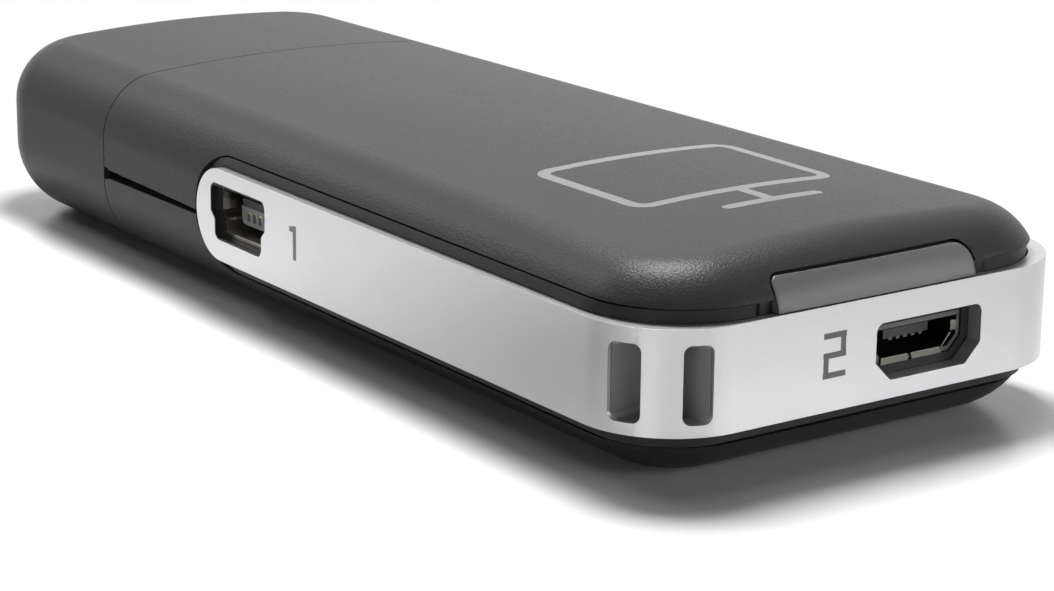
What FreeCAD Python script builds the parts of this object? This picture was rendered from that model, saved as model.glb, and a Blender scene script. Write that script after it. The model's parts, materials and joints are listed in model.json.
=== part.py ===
import FreeCAD, Part
import math
import os

V = FreeCAD.Vector

# Body: +X is the end with the micro-USB port, -X the end with the cap, origin under the middle
LENGTH = 92.0
END_WIDTH = 36.8
CAP_WIDTH = 32.2
HEIGHT = 14.55
PARTING_Z = 6.6
CROWN_RADIUS = 140.0
CROWN_HALF = 10.0
SHOULDER_RADIUS = 4.5
UNDER_RADIUS = 6.0
CAP_CORNER = 6.5
END_CORNER = 7.4
COVER_SET_BACK = 0.05
COVER_WALL = 1.2
LEAST_CORNER = 0.1

# Slot between the covers: it narrows towards the band, and has a pry notch beside the cap
SLOT_AT_CAP = 0.72
SLOT_AT_BAND = 0.36
NOTCH_LENGTH = 0.6
NOTCH_TALL = 0.95

# Silver band
BAND_LENGTH = 56.25
BAND_BOTTOM = 3.7
BAND_TALL = 6.95
BAND_WALL = 1.2
BAND_PROUD = 0.15
BAND_CORNER = 6.6
BAND_EDGE = 0.18
BAND_SEAT = 0.05
BAND_END_GAP = 0.45

# Mid frame: the neck shows above and below the band
NECK_ABOVE = 0.95
NECK_BELOW = 1.1
NECK_INSET = 0.75
NECK_CORNER = 7.1
LIP_GAP = 0.12
FRAME_WALL = 1.0
FRAME_CLEARANCE = 0.3
FRAME_RISE = 3.9
FRAME_DROP = 2.5
BULKHEAD = 1.2

# Lanyard windows in the band's corner, and the pocket behind the post
LANYARD_BOTTOM = 4.5
LANYARD_TALL = 5.1
LANYARD_SIDE_REACH = 4.67
LANYARD_END_REACH = 5.2
POST_START_ANGLE = -52.5
POST_END_ANGLE = -29.5
WINDOW_START_ANGLE = -100.0
WINDOW_END_ANGLE = 10.0
WINDOW_CORNER = 0.55
POCKET_CORNER = 3.0
POCKET_WALL = 1.3
POCKET_ROOF = 0.65

# End cap and the spigot that it grips
CAP_LENGTH = 20.4
CAP_WALL = 1.3
CAP_GAP = 0.12
SPIGOT_LENGTH = 3.0
SPIGOT_CLEARANCE = 0.12
SPIGOT_WALL = 1.2

# Main board
BOARD_TOP = 7.1
BOARD_THICK = 1.0
BOARD_CLEARANCE = 0.25
BOARD_CORNER = 1.5
NOTCH_CLEARANCE = 0.2

# HDMI plug
HDMI_WIDTH = 13.9
HDMI_TALL = 4.45
HDMI_BEVEL = 1.5
HDMI_CORNER = 0.5
HDMI_REACH = 11.9
HDMI_SHEET = 0.35
HDMI_SLOT_WIDTH = 11.2
HDMI_REAR = 3.0
HDMI_CLEARANCE = 0.08
HDMI_TIP_RECESS = 0.5
HDMI_PITCH = 1.0
HDMI_CONTACT_WIDTH = 0.45
HDMI_CONTACT_THICK = 0.2
HDMI_TOP_CONTACTS = 10
HDMI_TAIL = 1.2

# Mini-USB port in the long side
MINI_FROM_END = 50.07
MINI_Z = 7.4
MINI_WIDTH = 7.9
MINI_FOOT_WIDTH = 6.8
MINI_TALL = 4.24
MINI_STEP_Z = -0.05
MINI_STEP_TALL = 0.55
MINI_CORNER = 0.6
MINI_COLLAR = 0.15
MINI_COLLAR_GAP = 0.02
MINI_RECESS = 0.85
MINI_DEPTH = 7.6
USB_SHEET = 0.3
USB_CLEARANCE = 0.05
MINI_TONGUE_WIDTH = 4.8
MINI_TONGUE_THICK = 0.9
MINI_TONGUE_RECESS = 1.1
MINI_BACK = 1.4
MINI_CONTACTS = 5
MINI_PITCH = 0.8
MINI_CONTACT_WIDTH = 0.4

# Micro-USB port in the end
MICRO_Y = 4.3
MICRO_Z = 6.86
MICRO_WIDTH = 9.1
MICRO_TALL = 3.9
MICRO_BEVEL = 1.3
MICRO_CORNER = 0.6
MICRO_SHELL_INSET = 0.65
MICRO_SHELL_RECESS = 0.15
MICRO_DEPTH = 5.4
MICRO_TONGUE_WIDTH = 3.9
MICRO_TONGUE_THICK = 0.6
MICRO_TONGUE_RECESS = 0.9
MICRO_BACK = 1.2
MICRO_CONTACTS = 5
MICRO_PITCH = 0.65
MICRO_CONTACT_WIDTH = 0.3
CONTACT_THICK = 0.15

# Function key over the end, and the switch that it presses
KEY_WIDTH = 16.6
KEY_TALL = 2.12
KEY_CORNER = 1.2
KEY_GAP = 0.2
KEY_LIFT = 0.08
KEY_TRAVEL = 0.4
KEY_FLANGE = 0.8
KEY_FLANGE_REACH = 0.9
KEY_FLANGE_GAP = 0.1
ARM_Y = -4.0
ARM_WIDTH = 3.0
ARM_THICK = 0.9
ARM_CLEARANCE = 0.3
SWITCH_LENGTH = 3.6
SWITCH_WIDTH = 4.4
SWITCH_TALL = 2.9
PLUNGER_LIFT = 1.75
PLUNGER_RADIUS = 0.9
PLUNGER_REACH = 0.95
PLUNGER_DEPTH = 1.6
PLUNGER_CLEARANCE = 0.08
PLUNGER_GAP = 0.05

# Memory card socket in the far long side
CARD_FROM_END = 33.2
CARD_SLOT_WIDTH = 11.6
CARD_SLOT_TALL = 1.3
CARD_SLOT_CORNER = 0.3
CARD_DEPTH = 14.0
CARD_BASE_THICK = 0.5
CARD_SHEET = 0.2
CARD_SIDE = 1.2

# Chips and cooling, placed from the room's end and from the plug's back
PROCESSOR_FROM_END = 33.2
PROCESSOR_SIZE = 12.0
PROCESSOR_TALL = 1.2
PAD_THICK = 0.5
SPREADER_FROM_END = 41.2
SPREADER_LENGTH = 32.0
SPREADER_WIDTH = 23.0
SPREADER_THICK = 0.8
SPREADER_CORNER = 2.0
SPREADER_LEG = 1.6
MEMORY_FROM_END = 19.2
MEMORY_LENGTH = 9.0
MEMORY_WIDTH = 8.0
MEMORY_TALL = 1.0
MEMORY_SPACING = 10.0
FLASH_FROM_PLUG = 11.6
FLASH_LENGTH = 13.0
FLASH_WIDTH = 11.5
FLASH_TALL = 1.0
RADIO_FROM_PLUG = 8.1
RADIO_Y = 3.5
RADIO_SIZE = 11.0
RADIO_THICK = 0.8
SHIELD_INSET = 0.5
SHIELD_TALL = 1.4
SHIELD_SHEET = 0.2
POWER_CHIP_FROM_END = 17.2
POWER_CHIP_SIZE = 5.0
POWER_CHIP_TALL = 0.8
INDUCTOR_FROM_PLUG = 4.1
INDUCTOR_Y = -5.2
INDUCTOR_SIZE = 3.0
INDUCTOR_TALL = 1.8
INDUCTOR_PITCH = 3.8
INDUCTORS = 3
CAPACITOR_FROM_END = 38.6
CAPACITOR_Y = 8.6
CAPACITOR_LENGTH = 1.0
CAPACITOR_WIDTH = 0.5
CAPACITOR_PITCH = 2.2
CAPACITORS = 6
CRYSTAL_FROM_END = 7.0
CRYSTAL_Y = 1.0
CRYSTAL_LENGTH = 3.2
CRYSTAL_WIDTH = 2.5
CRYSTAL_TALL = 0.8
CRYSTAL_PITCH = 4.0
LIGHT_FROM_END = 2.8
LIGHT_Y = -9.0
LIGHT_LENGTH = 1.6
LIGHT_WIDTH = 0.8
LIGHT_TALL = 0.6
LIGHT_PITCH = 1.6
ANTENNA_FROM_PLUG = 4.6
ANTENNA_FROM_SIDE = 2.4
ANTENNA_LENGTH = 11.0
ANTENNA_TALL = 2.4
ANTENNA_TOP = 1.6
ANTENNA_FOOT = 1.6
ANTENNA_SHEET = 0.25

# Bosses in the lower cover, with the board's screws, and the posts and ribs in the covers
BOSS_FROM_PLUG = 2.1
BOSS_FROM_END = 8.7
BOSS_FROM_SIDE = 2.3
BOSS_RADIUS = 2.0
SCREW_RADIUS = 0.8
SCREW_CLEARANCE = 0.06
SCREW_HEAD_RADIUS = 1.5
SCREW_HEAD_TALL = 0.8
SCREW_LENGTH = 3.6
POST_RADIUS = 1.2
POST_GAP = 0.1
POST_FROM_EDGE = 4.0
RIB_THICK = 0.8
RIB_TALL = 1.0
RIB_Y = 6.5
RIB_FROM_SEAM = 4.0
RIB_FROM_END = 12.0

# Places worked out from the sizes above
END_X = LENGTH / 2
SEAM_X = CAP_LENGTH - END_X
COVER_START = SEAM_X + CAP_GAP
SIDE_TAPER = (END_WIDTH - CAP_WIDTH) / 2 / LENGTH
BAND_HALF = END_WIDTH / 2 + BAND_PROUD
BAND_START = END_X - BAND_LENGTH
BAND_TOP = BAND_BOTTOM + BAND_TALL
BAND_MIDDLE = BAND_BOTTOM + BAND_TALL / 2
NECK_TOP = BAND_TOP + NECK_ABOVE
NECK_BOTTOM = BAND_BOTTOM - NECK_BELOW
BAND_INSIDE = BAND_WALL + BAND_SEAT
FRAME_INSET = COVER_WALL + FRAME_CLEARANCE
ROOM_INSET = FRAME_INSET + FRAME_WALL
ROOM_START = SEAM_X + BULKHEAD
ROOM_END = END_X - BAND_INSIDE - FRAME_WALL
ROOM_CORNER = BAND_CORNER - BAND_INSIDE - FRAME_WALL
BOARD_INSET = ROOM_INSET + BOARD_CLEARANCE
BOARD_BOTTOM = BOARD_TOP - BOARD_THICK
BOARD_MIDDLE = BOARD_TOP - BOARD_THICK / 2
LANYARD_TOP = LANYARD_BOTTOM + LANYARD_TALL
LANYARD_X = END_X - LANYARD_SIDE_REACH
LANYARD_Y = LANYARD_END_REACH - BAND_HALF
SPIGOT_X = SEAM_X - SPIGOT_LENGTH
HDMI_TIP = SPIGOT_X - HDMI_REACH
HDMI_BACK = ROOM_START + HDMI_REAR
MINI_X = END_X - MINI_FROM_END
MICRO_FACE_X = END_X - BAND_WALL - MICRO_SHELL_RECESS
KEY_BOTTOM = BAND_TOP + KEY_LIFT
KEY_TOP = KEY_BOTTOM + KEY_TALL
KEY_START = END_X - END_CORNER
ARM_FRONT = ROOM_END - ARM_CLEARANCE
ARM_BACK = ARM_FRONT - ARM_THICK
SWITCH_FRONT = ARM_BACK - PLUNGER_GAP - PLUNGER_REACH
PLUNGER_Z = BOARD_TOP + PLUNGER_LIFT
CARD_X = END_X - CARD_FROM_END
CARD_FLOOR = BOARD_BOTTOM - CARD_BASE_THICK - CARD_SLOT_TALL
PAD_Z = BOARD_TOP + PROCESSOR_TALL
SPREADER_Z = PAD_Z + PAD_THICK
SPREADER_START = ROOM_END - SPREADER_FROM_END
BEYOND = 2 * LENGTH


def half_width(x):
    """Half the body's width at a place along its length: the body narrows towards the cap."""
    return END_WIDTH / 2 - (END_X - x) * SIDE_TAPER


MINI_FACE_Y = MINI_RECESS - BAND_PROUD - half_width(MINI_X)


def at(plane, u, v, w):
    """A point from its two coordinates in a plane and its distance along the plane's normal."""
    if plane == "XY":
        return V(u, v, w)
    if plane == "XZ":
        return V(u, w, v)
    return V(w, u, v)


def outline(plane, corners, level):
    """A closed wire through corners (u, v, radius), each rounded, or sharp under the least radius."""
    count = len(corners)
    joints = []
    for i in range(count):
        u, v, radius = corners[i]
        before = corners[i - 1]
        after = corners[(i + 1) % count]
        here = V(u, v, 0)
        back = (V(before[0], before[1], 0) - here).normalize()
        ahead = (V(after[0], after[1], 0) - here).normalize()
        if radius < LEAST_CORNER:
            joints.append((here, None, here))
            continue
        half_turn = back.getAngle(ahead) / 2
        reach = radius / math.tan(half_turn)
        centre = here + (back + ahead).normalize() * (radius / math.sin(half_turn))
        middle = centre + (here - centre).normalize() * radius
        joints.append((here + back * reach, middle, here + ahead * reach))
    edges = []
    for i in range(count):
        start, middle, end = joints[i]
        following = joints[(i + 1) % count][0]
        if middle is not None:
            points = [at(plane, p.x, p.y, level) for p in (start, middle, end)]
            edges.append(Part.Arc(*points).toShape())
        if (following - end).Length > 1e-6:
            first = at(plane, end.x, end.y, level)
            last = at(plane, following.x, following.y, level)
            edges.append(Part.LineSegment(first, last).toShape())
    return Part.Wire(edges)


def prism(plane, corners, low, high):
    """A rounded outline drawn out along its plane's normal, from low to high."""
    face = Part.Face(outline(plane, corners, low))
    return face.extrude(at(plane, 0, 0, high - low))


def block(x, y, z):
    """A plain box between pairs of limits."""
    return Part.makeBox(x[1] - x[0], y[1] - y[0], z[1] - z[0], V(x[0], y[0], z[0]))


def centred(x, y, length, width, low, high):
    """A box about a centre in plan, between two heights."""
    return block((x - length / 2, x + length / 2), (y - width / 2, y + width / 2), (low, high))


def rod(radius, start, end):
    """A round rod between two points."""
    return Part.makeCylinder(radius, (end - start).Length, start, end - start)


def rectangle(u, v, radius):
    """The four corners of a rectangle with one radius."""
    return [(u[0], v[0], radius), (u[1], v[0], radius), (u[1], v[1], radius), (u[0], v[1], radius)]


def group(shapes):
    """Several separate solids kept in one node."""
    return Part.makeCompound(shapes)


def tapered_plan(start, end, inset, start_radius, end_radius):
    """Corners of a plan whose long sides follow the body's taper, set in from them."""
    near = half_width(start) - inset
    far = half_width(end) - inset
    return [(start, -near, start_radius), (end, -far, end_radius),
            (end, far, end_radius), (start, near, start_radius)]


def crowned_roof(inset):
    """Everything under the body's top, which is crowned in the middle and flat at its flanks."""
    slope = CROWN_HALF / CROWN_RADIUS
    ridge = HEIGHT - inset + CROWN_RADIUS * (1 / math.cos(math.atan(slope)) - 1)
    eaves = ridge - END_WIDTH * slope
    profile = [(-END_WIDTH, -HEIGHT, 0), (END_WIDTH, -HEIGHT, 0), (END_WIDTH, eaves, 0),
               (0, ridge, CROWN_RADIUS), (-END_WIDTH, eaves, 0)]
    return prism("YZ", profile, -LENGTH, LENGTH)


def body_form(inset):
    """The whole outer form of the body, or the form inside a wall, with bevels in place of rounds."""
    plan = tapered_plan(-END_X + inset, END_X - COVER_SET_BACK - inset, inset,
                        CAP_CORNER - inset, END_CORNER - inset)
    form = prism("XY", plan, inset, 2 * HEIGHT).common(crowned_roof(inset))
    top = [e for e in form.Edges if e.BoundBox.ZMin > PARTING_Z and not is_ridge(e)]
    if inset:
        bevel = 2 - math.sqrt(2)
        form = form.makeChamfer((SHOULDER_RADIUS - inset) * bevel, top)
        return form.makeChamfer((UNDER_RADIUS - inset) * bevel, floor_edges(form))
    form = form.makeFillet(SHOULDER_RADIUS, top)
    return form.makeFillet(UNDER_RADIUS, floor_edges(form))


def floor_edges(form):
    """The edges round a form's flat floor."""
    return [e for e in form.Edges if e.BoundBox.ZMax < form.BoundBox.ZMin + COVER_WALL]


def is_ridge(edge):
    """Whether an edge of the roof lies inside its outline, between the crown and a flat flank."""
    middle = edge.CenterOfMass
    return edge.BoundBox.XLength > BAND_LENGTH and abs(middle.y) < CAP_WIDTH / 2 - CAP_CORNER


def band_plan(inset, radius, start):
    """The plan of the band or neck: tapered sides from start, rounded corners at the end."""
    return tapered_plan(start, END_X - inset, inset - BAND_PROUD, 0, radius)


def side_stadium(start, low, high):
    """Everything beyond a half-round end, seen from the side, between two heights."""
    radius = (high - low) / 2 - 1e-4
    return prism("XZ", [(start, low, radius), (BEYOND, low, 0), (BEYOND, high, 0), (start, high, radius)],
                 -BEYOND, BEYOND)


def mini_outline(inset):
    """The stepped outline of the mini-USB port, set in from its opening."""
    half = MINI_WIDTH / 2 - inset
    foot = MINI_FOOT_WIDTH / 2 - inset
    top = MINI_Z + MINI_TALL / 2 - inset
    low = MINI_Z - MINI_TALL / 2 + inset
    step = MINI_Z + MINI_STEP_Z
    ledge = step - MINI_STEP_TALL
    radius = MINI_CORNER - inset
    small = radius / 2
    return [(MINI_X - foot, low, radius), (MINI_X + foot, low, radius), (MINI_X + foot, ledge, small),
            (MINI_X + half, step, small), (MINI_X + half, top, radius), (MINI_X - half, top, radius),
            (MINI_X - half, step, small), (MINI_X - foot, ledge, small)]


def micro_outline(inset):
    """The bevelled outline of the micro-USB port, set in from its opening."""
    half = MICRO_WIDTH / 2 - inset
    top = MICRO_Z + MICRO_TALL / 2 - inset
    low = MICRO_Z - MICRO_TALL / 2 + inset
    bevel = MICRO_BEVEL - inset * (2 - math.sqrt(2))
    radius = MICRO_CORNER - inset
    small = radius / 2
    return [(MICRO_Y - half + bevel, low, small), (MICRO_Y + half - bevel, low, small),
            (MICRO_Y + half, low + bevel, small), (MICRO_Y + half, top, radius),
            (MICRO_Y - half, top, radius), (MICRO_Y - half, low + bevel, small)]


def hdmi_outline(inset):
    """The outline of the HDMI plug, bevelled at its lower corners."""
    half = HDMI_WIDTH / 2 - inset
    top = BOARD_MIDDLE + HDMI_TALL / 2 - inset
    low = BOARD_MIDDLE - HDMI_TALL / 2 + inset
    bevel = HDMI_BEVEL - inset * (2 - math.sqrt(2))
    radius = HDMI_CORNER - inset
    return [(-half + bevel, low, radius), (half - bevel, low, radius), (half, low + bevel, radius),
            (half, top, radius), (-half, top, radius), (-half, low + bevel, radius)]


def card_slot():
    """The slot for the memory card, seen from the long side."""
    half = CARD_SLOT_WIDTH / 2
    across = (CARD_X - half, CARD_X + half)
    return rectangle(across, (CARD_FLOOR, CARD_FLOOR + CARD_SLOT_TALL), CARD_SLOT_CORNER)


def key_outline(margin):
    """The outline of the function key, seen from the end."""
    half = KEY_WIDTH / 2 + margin
    top = KEY_TOP + margin
    return [(-half, KEY_BOTTOM, 0), (half, KEY_BOTTOM, 0), (half, top, KEY_CORNER + margin),
            (-half, top, KEY_CORNER / 2 + margin)]


def cover_opening():
    """The opening in both covers that the band and its neck show through."""
    return side_stadium(BAND_START - BAND_END_GAP, NECK_BOTTOM, NECK_TOP)


def pry_notch():
    """The small notch at the cap's end of the slot, on both sides."""
    return block((SEAM_X, COVER_START + NOTCH_LENGTH), (-BEYOND, BEYOND),
                 (PARTING_Z - NOTCH_TALL / 2, PARTING_Z + NOTCH_TALL / 2))


def beyond_slot(side):
    """Everything above the slot between the covers (side 1) or below it (side -1)."""
    at_cap = PARTING_Z + side * SLOT_AT_CAP / 2
    at_band = PARTING_Z + side * SLOT_AT_BAND / 2
    far = PARTING_Z + side * BEYOND
    return prism("XZ", [(COVER_START, at_cap, 0), (BAND_START, at_band, 0), (BEYOND, at_band, 0),
                        (BEYOND, far, 0), (COVER_START, far, 0)], -BEYOND, BEYOND)


def ribs(low, high):
    """Two lengthwise ribs under a cover's wall."""
    length = (SEAM_X + RIB_FROM_SEAM, END_X - RIB_FROM_END)
    return [block(length, (y - RIB_THICK / 2, y + RIB_THICK / 2), (low, high)) for y in (-RIB_Y, RIB_Y)]


def make_upper_cover():
    """Crowned shell with posts that press the heat spreader down."""
    outer = body_form(0)
    inner = body_form(COVER_WALL)
    inside = ribs(HEIGHT - COVER_WALL - RIB_TALL, HEIGHT)
    for x in (SPREADER_START + POST_FROM_EDGE, SPREADER_START + SPREADER_LENGTH - POST_FROM_EDGE):
        for y in (-RIB_Y, RIB_Y):
            foot = V(x, y, SPREADER_Z + SPREADER_THICK + POST_GAP)
            inside.append(rod(POST_RADIUS, foot, V(x, y, HEIGHT)))
    core = body_form(COVER_WALL / 2)
    shell = outer.cut(inner).fuse([piece.common(core) for piece in inside])
    shell = shell.common(beyond_slot(1)).cut(cover_opening()).cut(pry_notch())
    return shell.cut(prism("YZ", key_outline(KEY_GAP), KEY_START, END_X)).removeSplitter()


def make_lower_cover():
    """Rounded shell with four bosses for the board's screws."""
    outer = body_form(0)
    inner = body_form(COVER_WALL)
    inside = ribs(0, COVER_WALL + RIB_TALL)
    for x, y in boss_places():
        inside.append(rod(BOSS_RADIUS, V(x, y, 0), V(x, y, BOARD_BOTTOM)))
    core = body_form(COVER_WALL / 2)
    shell = outer.cut(inner).fuse([piece.common(core) for piece in inside])
    shell = shell.common(beyond_slot(-1)).cut(cover_opening()).cut(pry_notch())
    pilot_end = BOARD_BOTTOM - SCREW_LENGTH - SCREW_CLEARANCE
    for x, y in boss_places():
        shell = shell.cut(rod(SCREW_RADIUS + SCREW_CLEARANCE, V(x, y, pilot_end), V(x, y, BOARD_TOP)))
    return shell.removeSplitter()


def boss_places():
    """Where the board is screwed down."""
    places = []
    for x in (HDMI_BACK + BOSS_FROM_PLUG, ROOM_END - BOSS_FROM_END):
        y = half_width(x) - ROOM_INSET - BOSS_FROM_SIDE
        places += [(x, -y), (x, y)]
    return places


def lanyard_window(start_angle, end_angle):
    """The part of the band's corner between two angles that one lanyard window takes away."""
    centre = V(END_X - BAND_CORNER, BAND_CORNER - BAND_HALF, LANYARD_BOTTOM)
    reach = 3 * BAND_CORNER
    points = [centre]
    for angle in (start_angle, (start_angle + end_angle) / 2, end_angle):
        turn = math.radians(angle)
        points.append(centre + V(math.cos(turn), math.sin(turn), 0) * reach)
    wedge = Part.Face(Part.makePolygon(points + [centre])).extrude(V(0, 0, LANYARD_TALL))
    return wedge.common(block((LANYARD_X, BEYOND), (-BEYOND, LANYARD_Y), (LANYARD_BOTTOM, LANYARD_TOP)))


def window_corners(band):
    """The short edges through the band's wall at the corners of the lanyard windows."""
    corners = []
    for edge in band.Edges:
        middle = edge.CenterOfMass
        on_level = min(abs(middle.z - LANYARD_BOTTOM), abs(middle.z - LANYARD_TOP)) < 1e-3
        flat = abs(edge.BoundBox.ZLength) < 1e-4
        across = BAND_WALL / 2 < edge.Length < BAND_WALL * 1.6
        near = middle.x > LANYARD_X - BAND_WALL and middle.y < LANYARD_Y + BAND_WALL
        if on_level and flat and across and near and edge.Curve.TypeId == "Part::GeomLine":
            corners.append(edge)
    return corners


def make_silver_band():
    """Wrapped band with its ports, card slot and lanyard windows."""
    outer = prism("XY", band_plan(0, BAND_CORNER, BAND_START), BAND_BOTTOM, BAND_TOP)
    rims = [e for e in outer.Edges if abs(e.CenterOfMass.z - BAND_MIDDLE) > BAND_TALL / 2 - 1e-3
            and e.CenterOfMass.x > BAND_START + BAND_WALL]
    outer = outer.makeChamfer(BAND_EDGE, rims)
    inner = prism("XY", band_plan(BAND_WALL, BAND_CORNER - BAND_WALL, BAND_START - BAND_WALL), 0, HEIGHT)
    band = outer.cut(inner).common(side_stadium(BAND_START, BAND_BOTTOM, BAND_TOP))
    band = band.cut(prism("XZ", mini_outline(0), -BEYOND, 0))
    band = band.cut(prism("YZ", micro_outline(0), 0, BEYOND))
    band = band.cut(prism("XZ", card_slot(), 0, BEYOND))
    band = band.cut(lanyard_window(WINDOW_START_ANGLE, POST_START_ANGLE))
    band = band.cut(lanyard_window(POST_END_ANGLE, WINDOW_END_ANGLE)).removeSplitter()
    return band.makeFillet(WINDOW_CORNER, window_corners(band))


def make_mid_frame():
    """Dark frame between the covers: neck, band channel, bulkhead, spigot, port walls, lanyard pocket."""
    rear = prism("XY", tapered_plan(COVER_START, BAND_START + BAND_TALL, FRAME_INSET, 0, 0),
                 BOARD_MIDDLE - FRAME_DROP, BOARD_MIDDLE + FRAME_RISE)
    neck_start = BAND_START - BAND_END_GAP + LIP_GAP
    neck_low = NECK_BOTTOM + LIP_GAP
    neck_high = NECK_TOP - LIP_GAP
    neck = prism("XY", band_plan(NECK_INSET, NECK_CORNER, neck_start), neck_low, neck_high)
    neck = neck.common(side_stadium(neck_start, neck_low, neck_high))
    seat_low = BAND_BOTTOM - BAND_SEAT
    seat_high = BAND_TOP + BAND_SEAT
    core = prism("XY", band_plan(BAND_INSIDE, BAND_CORNER - BAND_INSIDE, neck_start), 0, HEIGHT)
    below = block((-BEYOND, BEYOND), (-BEYOND, BEYOND), (0, seat_low))
    channel = prism("XY", band_plan(-BAND_WALL, BAND_CORNER, BAND_START - BAND_WALL), seat_low, seat_high)
    channel = channel.common(side_stadium(BAND_START - BAND_SEAT, seat_low, seat_high))
    neck = neck.cut(below.cut(core)).cut(channel.cut(core))
    room = prism("XY", tapered_plan(ROOM_START, ROOM_END, ROOM_INSET, FRAME_WALL, ROOM_CORNER), 0, HEIGHT)
    frame = rear.fuse(neck).cut(room).fuse(bulkhead_and_spigot())
    frame = frame.cut(prism("YZ", hdmi_outline(-HDMI_CLEARANCE), -BEYOND, HDMI_BACK))
    frame = frame.fuse(lanyard_block()).cut(lanyard_pocket())
    mini_room = prism("XZ", mini_outline(MINI_COLLAR), -BEYOND, 0)
    collar = prism("XZ", mini_outline(MINI_COLLAR_GAP), MINI_FACE_Y - MINI_RECESS + BAND_SEAT,
                   MINI_FACE_Y - MINI_RECESS + FRAME_INSET)
    frame = frame.cut(mini_room).fuse(collar.cut(mini_room))
    frame = frame.cut(prism("YZ", micro_outline(MICRO_SHELL_INSET - USB_CLEARANCE), 0, BEYOND))
    return frame.cut(prism("XZ", card_slot(), 0, BEYOND)).cut(key_room()).removeSplitter()


def bulkhead_and_spigot():
    """Wall behind the plug, and the short rim that the cap slides over."""
    fitted = body_form(COVER_WALL + FRAME_CLEARANCE)
    wall = fitted.common(block((COVER_START, ROOM_START), (-BEYOND, BEYOND), (0, BEYOND)))
    slim = body_form(CAP_WALL + SPIGOT_CLEARANCE)
    hollow = body_form(CAP_WALL + SPIGOT_CLEARANCE + SPIGOT_WALL)
    rim = slim.cut(hollow).common(block((SPIGOT_X, COVER_START), (-BEYOND, BEYOND), (0, BEYOND)))
    return wall.fuse(rim)


def lanyard_block():
    """Solid corner that the lanyard pocket is cut from."""
    overlap = FRAME_WALL / 2
    low_y = ROOM_INSET - half_width(LANYARD_X - POCKET_WALL) - overlap
    solid = block((LANYARD_X - POCKET_WALL, ROOM_END + overlap), (low_y, LANYARD_Y + POCKET_WALL),
                  (BAND_BOTTOM, LANYARD_TOP + POCKET_ROOF))
    inset = BAND_INSIDE + overlap
    return solid.common(prism("XY", band_plan(inset, BAND_CORNER - inset, 0), 0, HEIGHT))


def lanyard_pocket():
    """Curved way behind the post, with a rounded inner corner."""
    return prism("XY", [(LANYARD_X, -BEYOND, 0), (BEYOND, -BEYOND, 0), (BEYOND, LANYARD_Y, 0),
                        (LANYARD_X, LANYARD_Y, POCKET_CORNER)], LANYARD_BOTTOM, LANYARD_TOP)


def key_room():
    """Space in the frame for the key's plate, flange and travel."""
    half = KEY_WIDTH / 2 + KEY_FLANGE_REACH + KEY_GAP
    depth = NECK_INSET + COVER_WALL + KEY_FLANGE_GAP + KEY_FLANGE + KEY_TRAVEL + KEY_GAP
    return block((END_X - depth - FRAME_WALL, END_X), (-half, half), (BAND_TOP - BAND_SEAT, HEIGHT))


def make_end_cap():
    """Pull-off cap, hollow round the plug."""
    cap = body_form(0).cut(body_form(CAP_WALL))
    return cap.common(block((-BEYOND, SEAM_X), (-BEYOND, BEYOND), (0, BEYOND)))


def make_function_key():
    """Smoky key: face flush with the cover, flange behind the cover's wall, arm down to the switch."""
    outer = body_form(0)
    back = COVER_WALL + KEY_FLANGE_GAP
    deep = body_form(back + KEY_FLANGE)
    shell = outer.cut(deep)
    plate = shell.common(prism("YZ", key_outline(0), KEY_START, END_X))
    flange = body_form(back).cut(deep).common(prism("YZ", key_outline(KEY_FLANGE_REACH), KEY_START, END_X))
    plate_back = END_X - COVER_SET_BACK - back - KEY_FLANGE
    roof = block((ARM_BACK, plate_back), (ARM_Y - ARM_WIDTH / 2, ARM_Y + ARM_WIDTH / 2),
                 (KEY_BOTTOM, KEY_BOTTOM + ARM_THICK))
    arm = block((ARM_BACK, ARM_FRONT), (ARM_Y - ARM_WIDTH / 2, ARM_Y + ARM_WIDTH / 2),
                (BOARD_TOP + ARM_THICK, KEY_BOTTOM + ARM_THICK))
    return plate.fuse([flange, roof, arm]).removeSplitter()


def make_key_switch():
    """Side-press switch body on the board, with the plunger's bore."""
    body = centred(SWITCH_FRONT - SWITCH_LENGTH / 2, ARM_Y, SWITCH_LENGTH, SWITCH_WIDTH,
                   BOARD_TOP, BOARD_TOP + SWITCH_TALL)
    deepest = SWITCH_FRONT - PLUNGER_DEPTH - KEY_TRAVEL - PLUNGER_CLEARANCE
    bore = rod(PLUNGER_RADIUS + PLUNGER_CLEARANCE, V(deepest, ARM_Y, PLUNGER_Z),
               V(ARM_BACK, ARM_Y, PLUNGER_Z))
    return body.cut(bore)


def make_key_switch_plunger():
    """Round plunger between the switch and the key's arm."""
    return rod(PLUNGER_RADIUS, V(SWITCH_FRONT - PLUNGER_DEPTH, ARM_Y, PLUNGER_Z),
               V(ARM_BACK - PLUNGER_GAP, ARM_Y, PLUNGER_Z))


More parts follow.
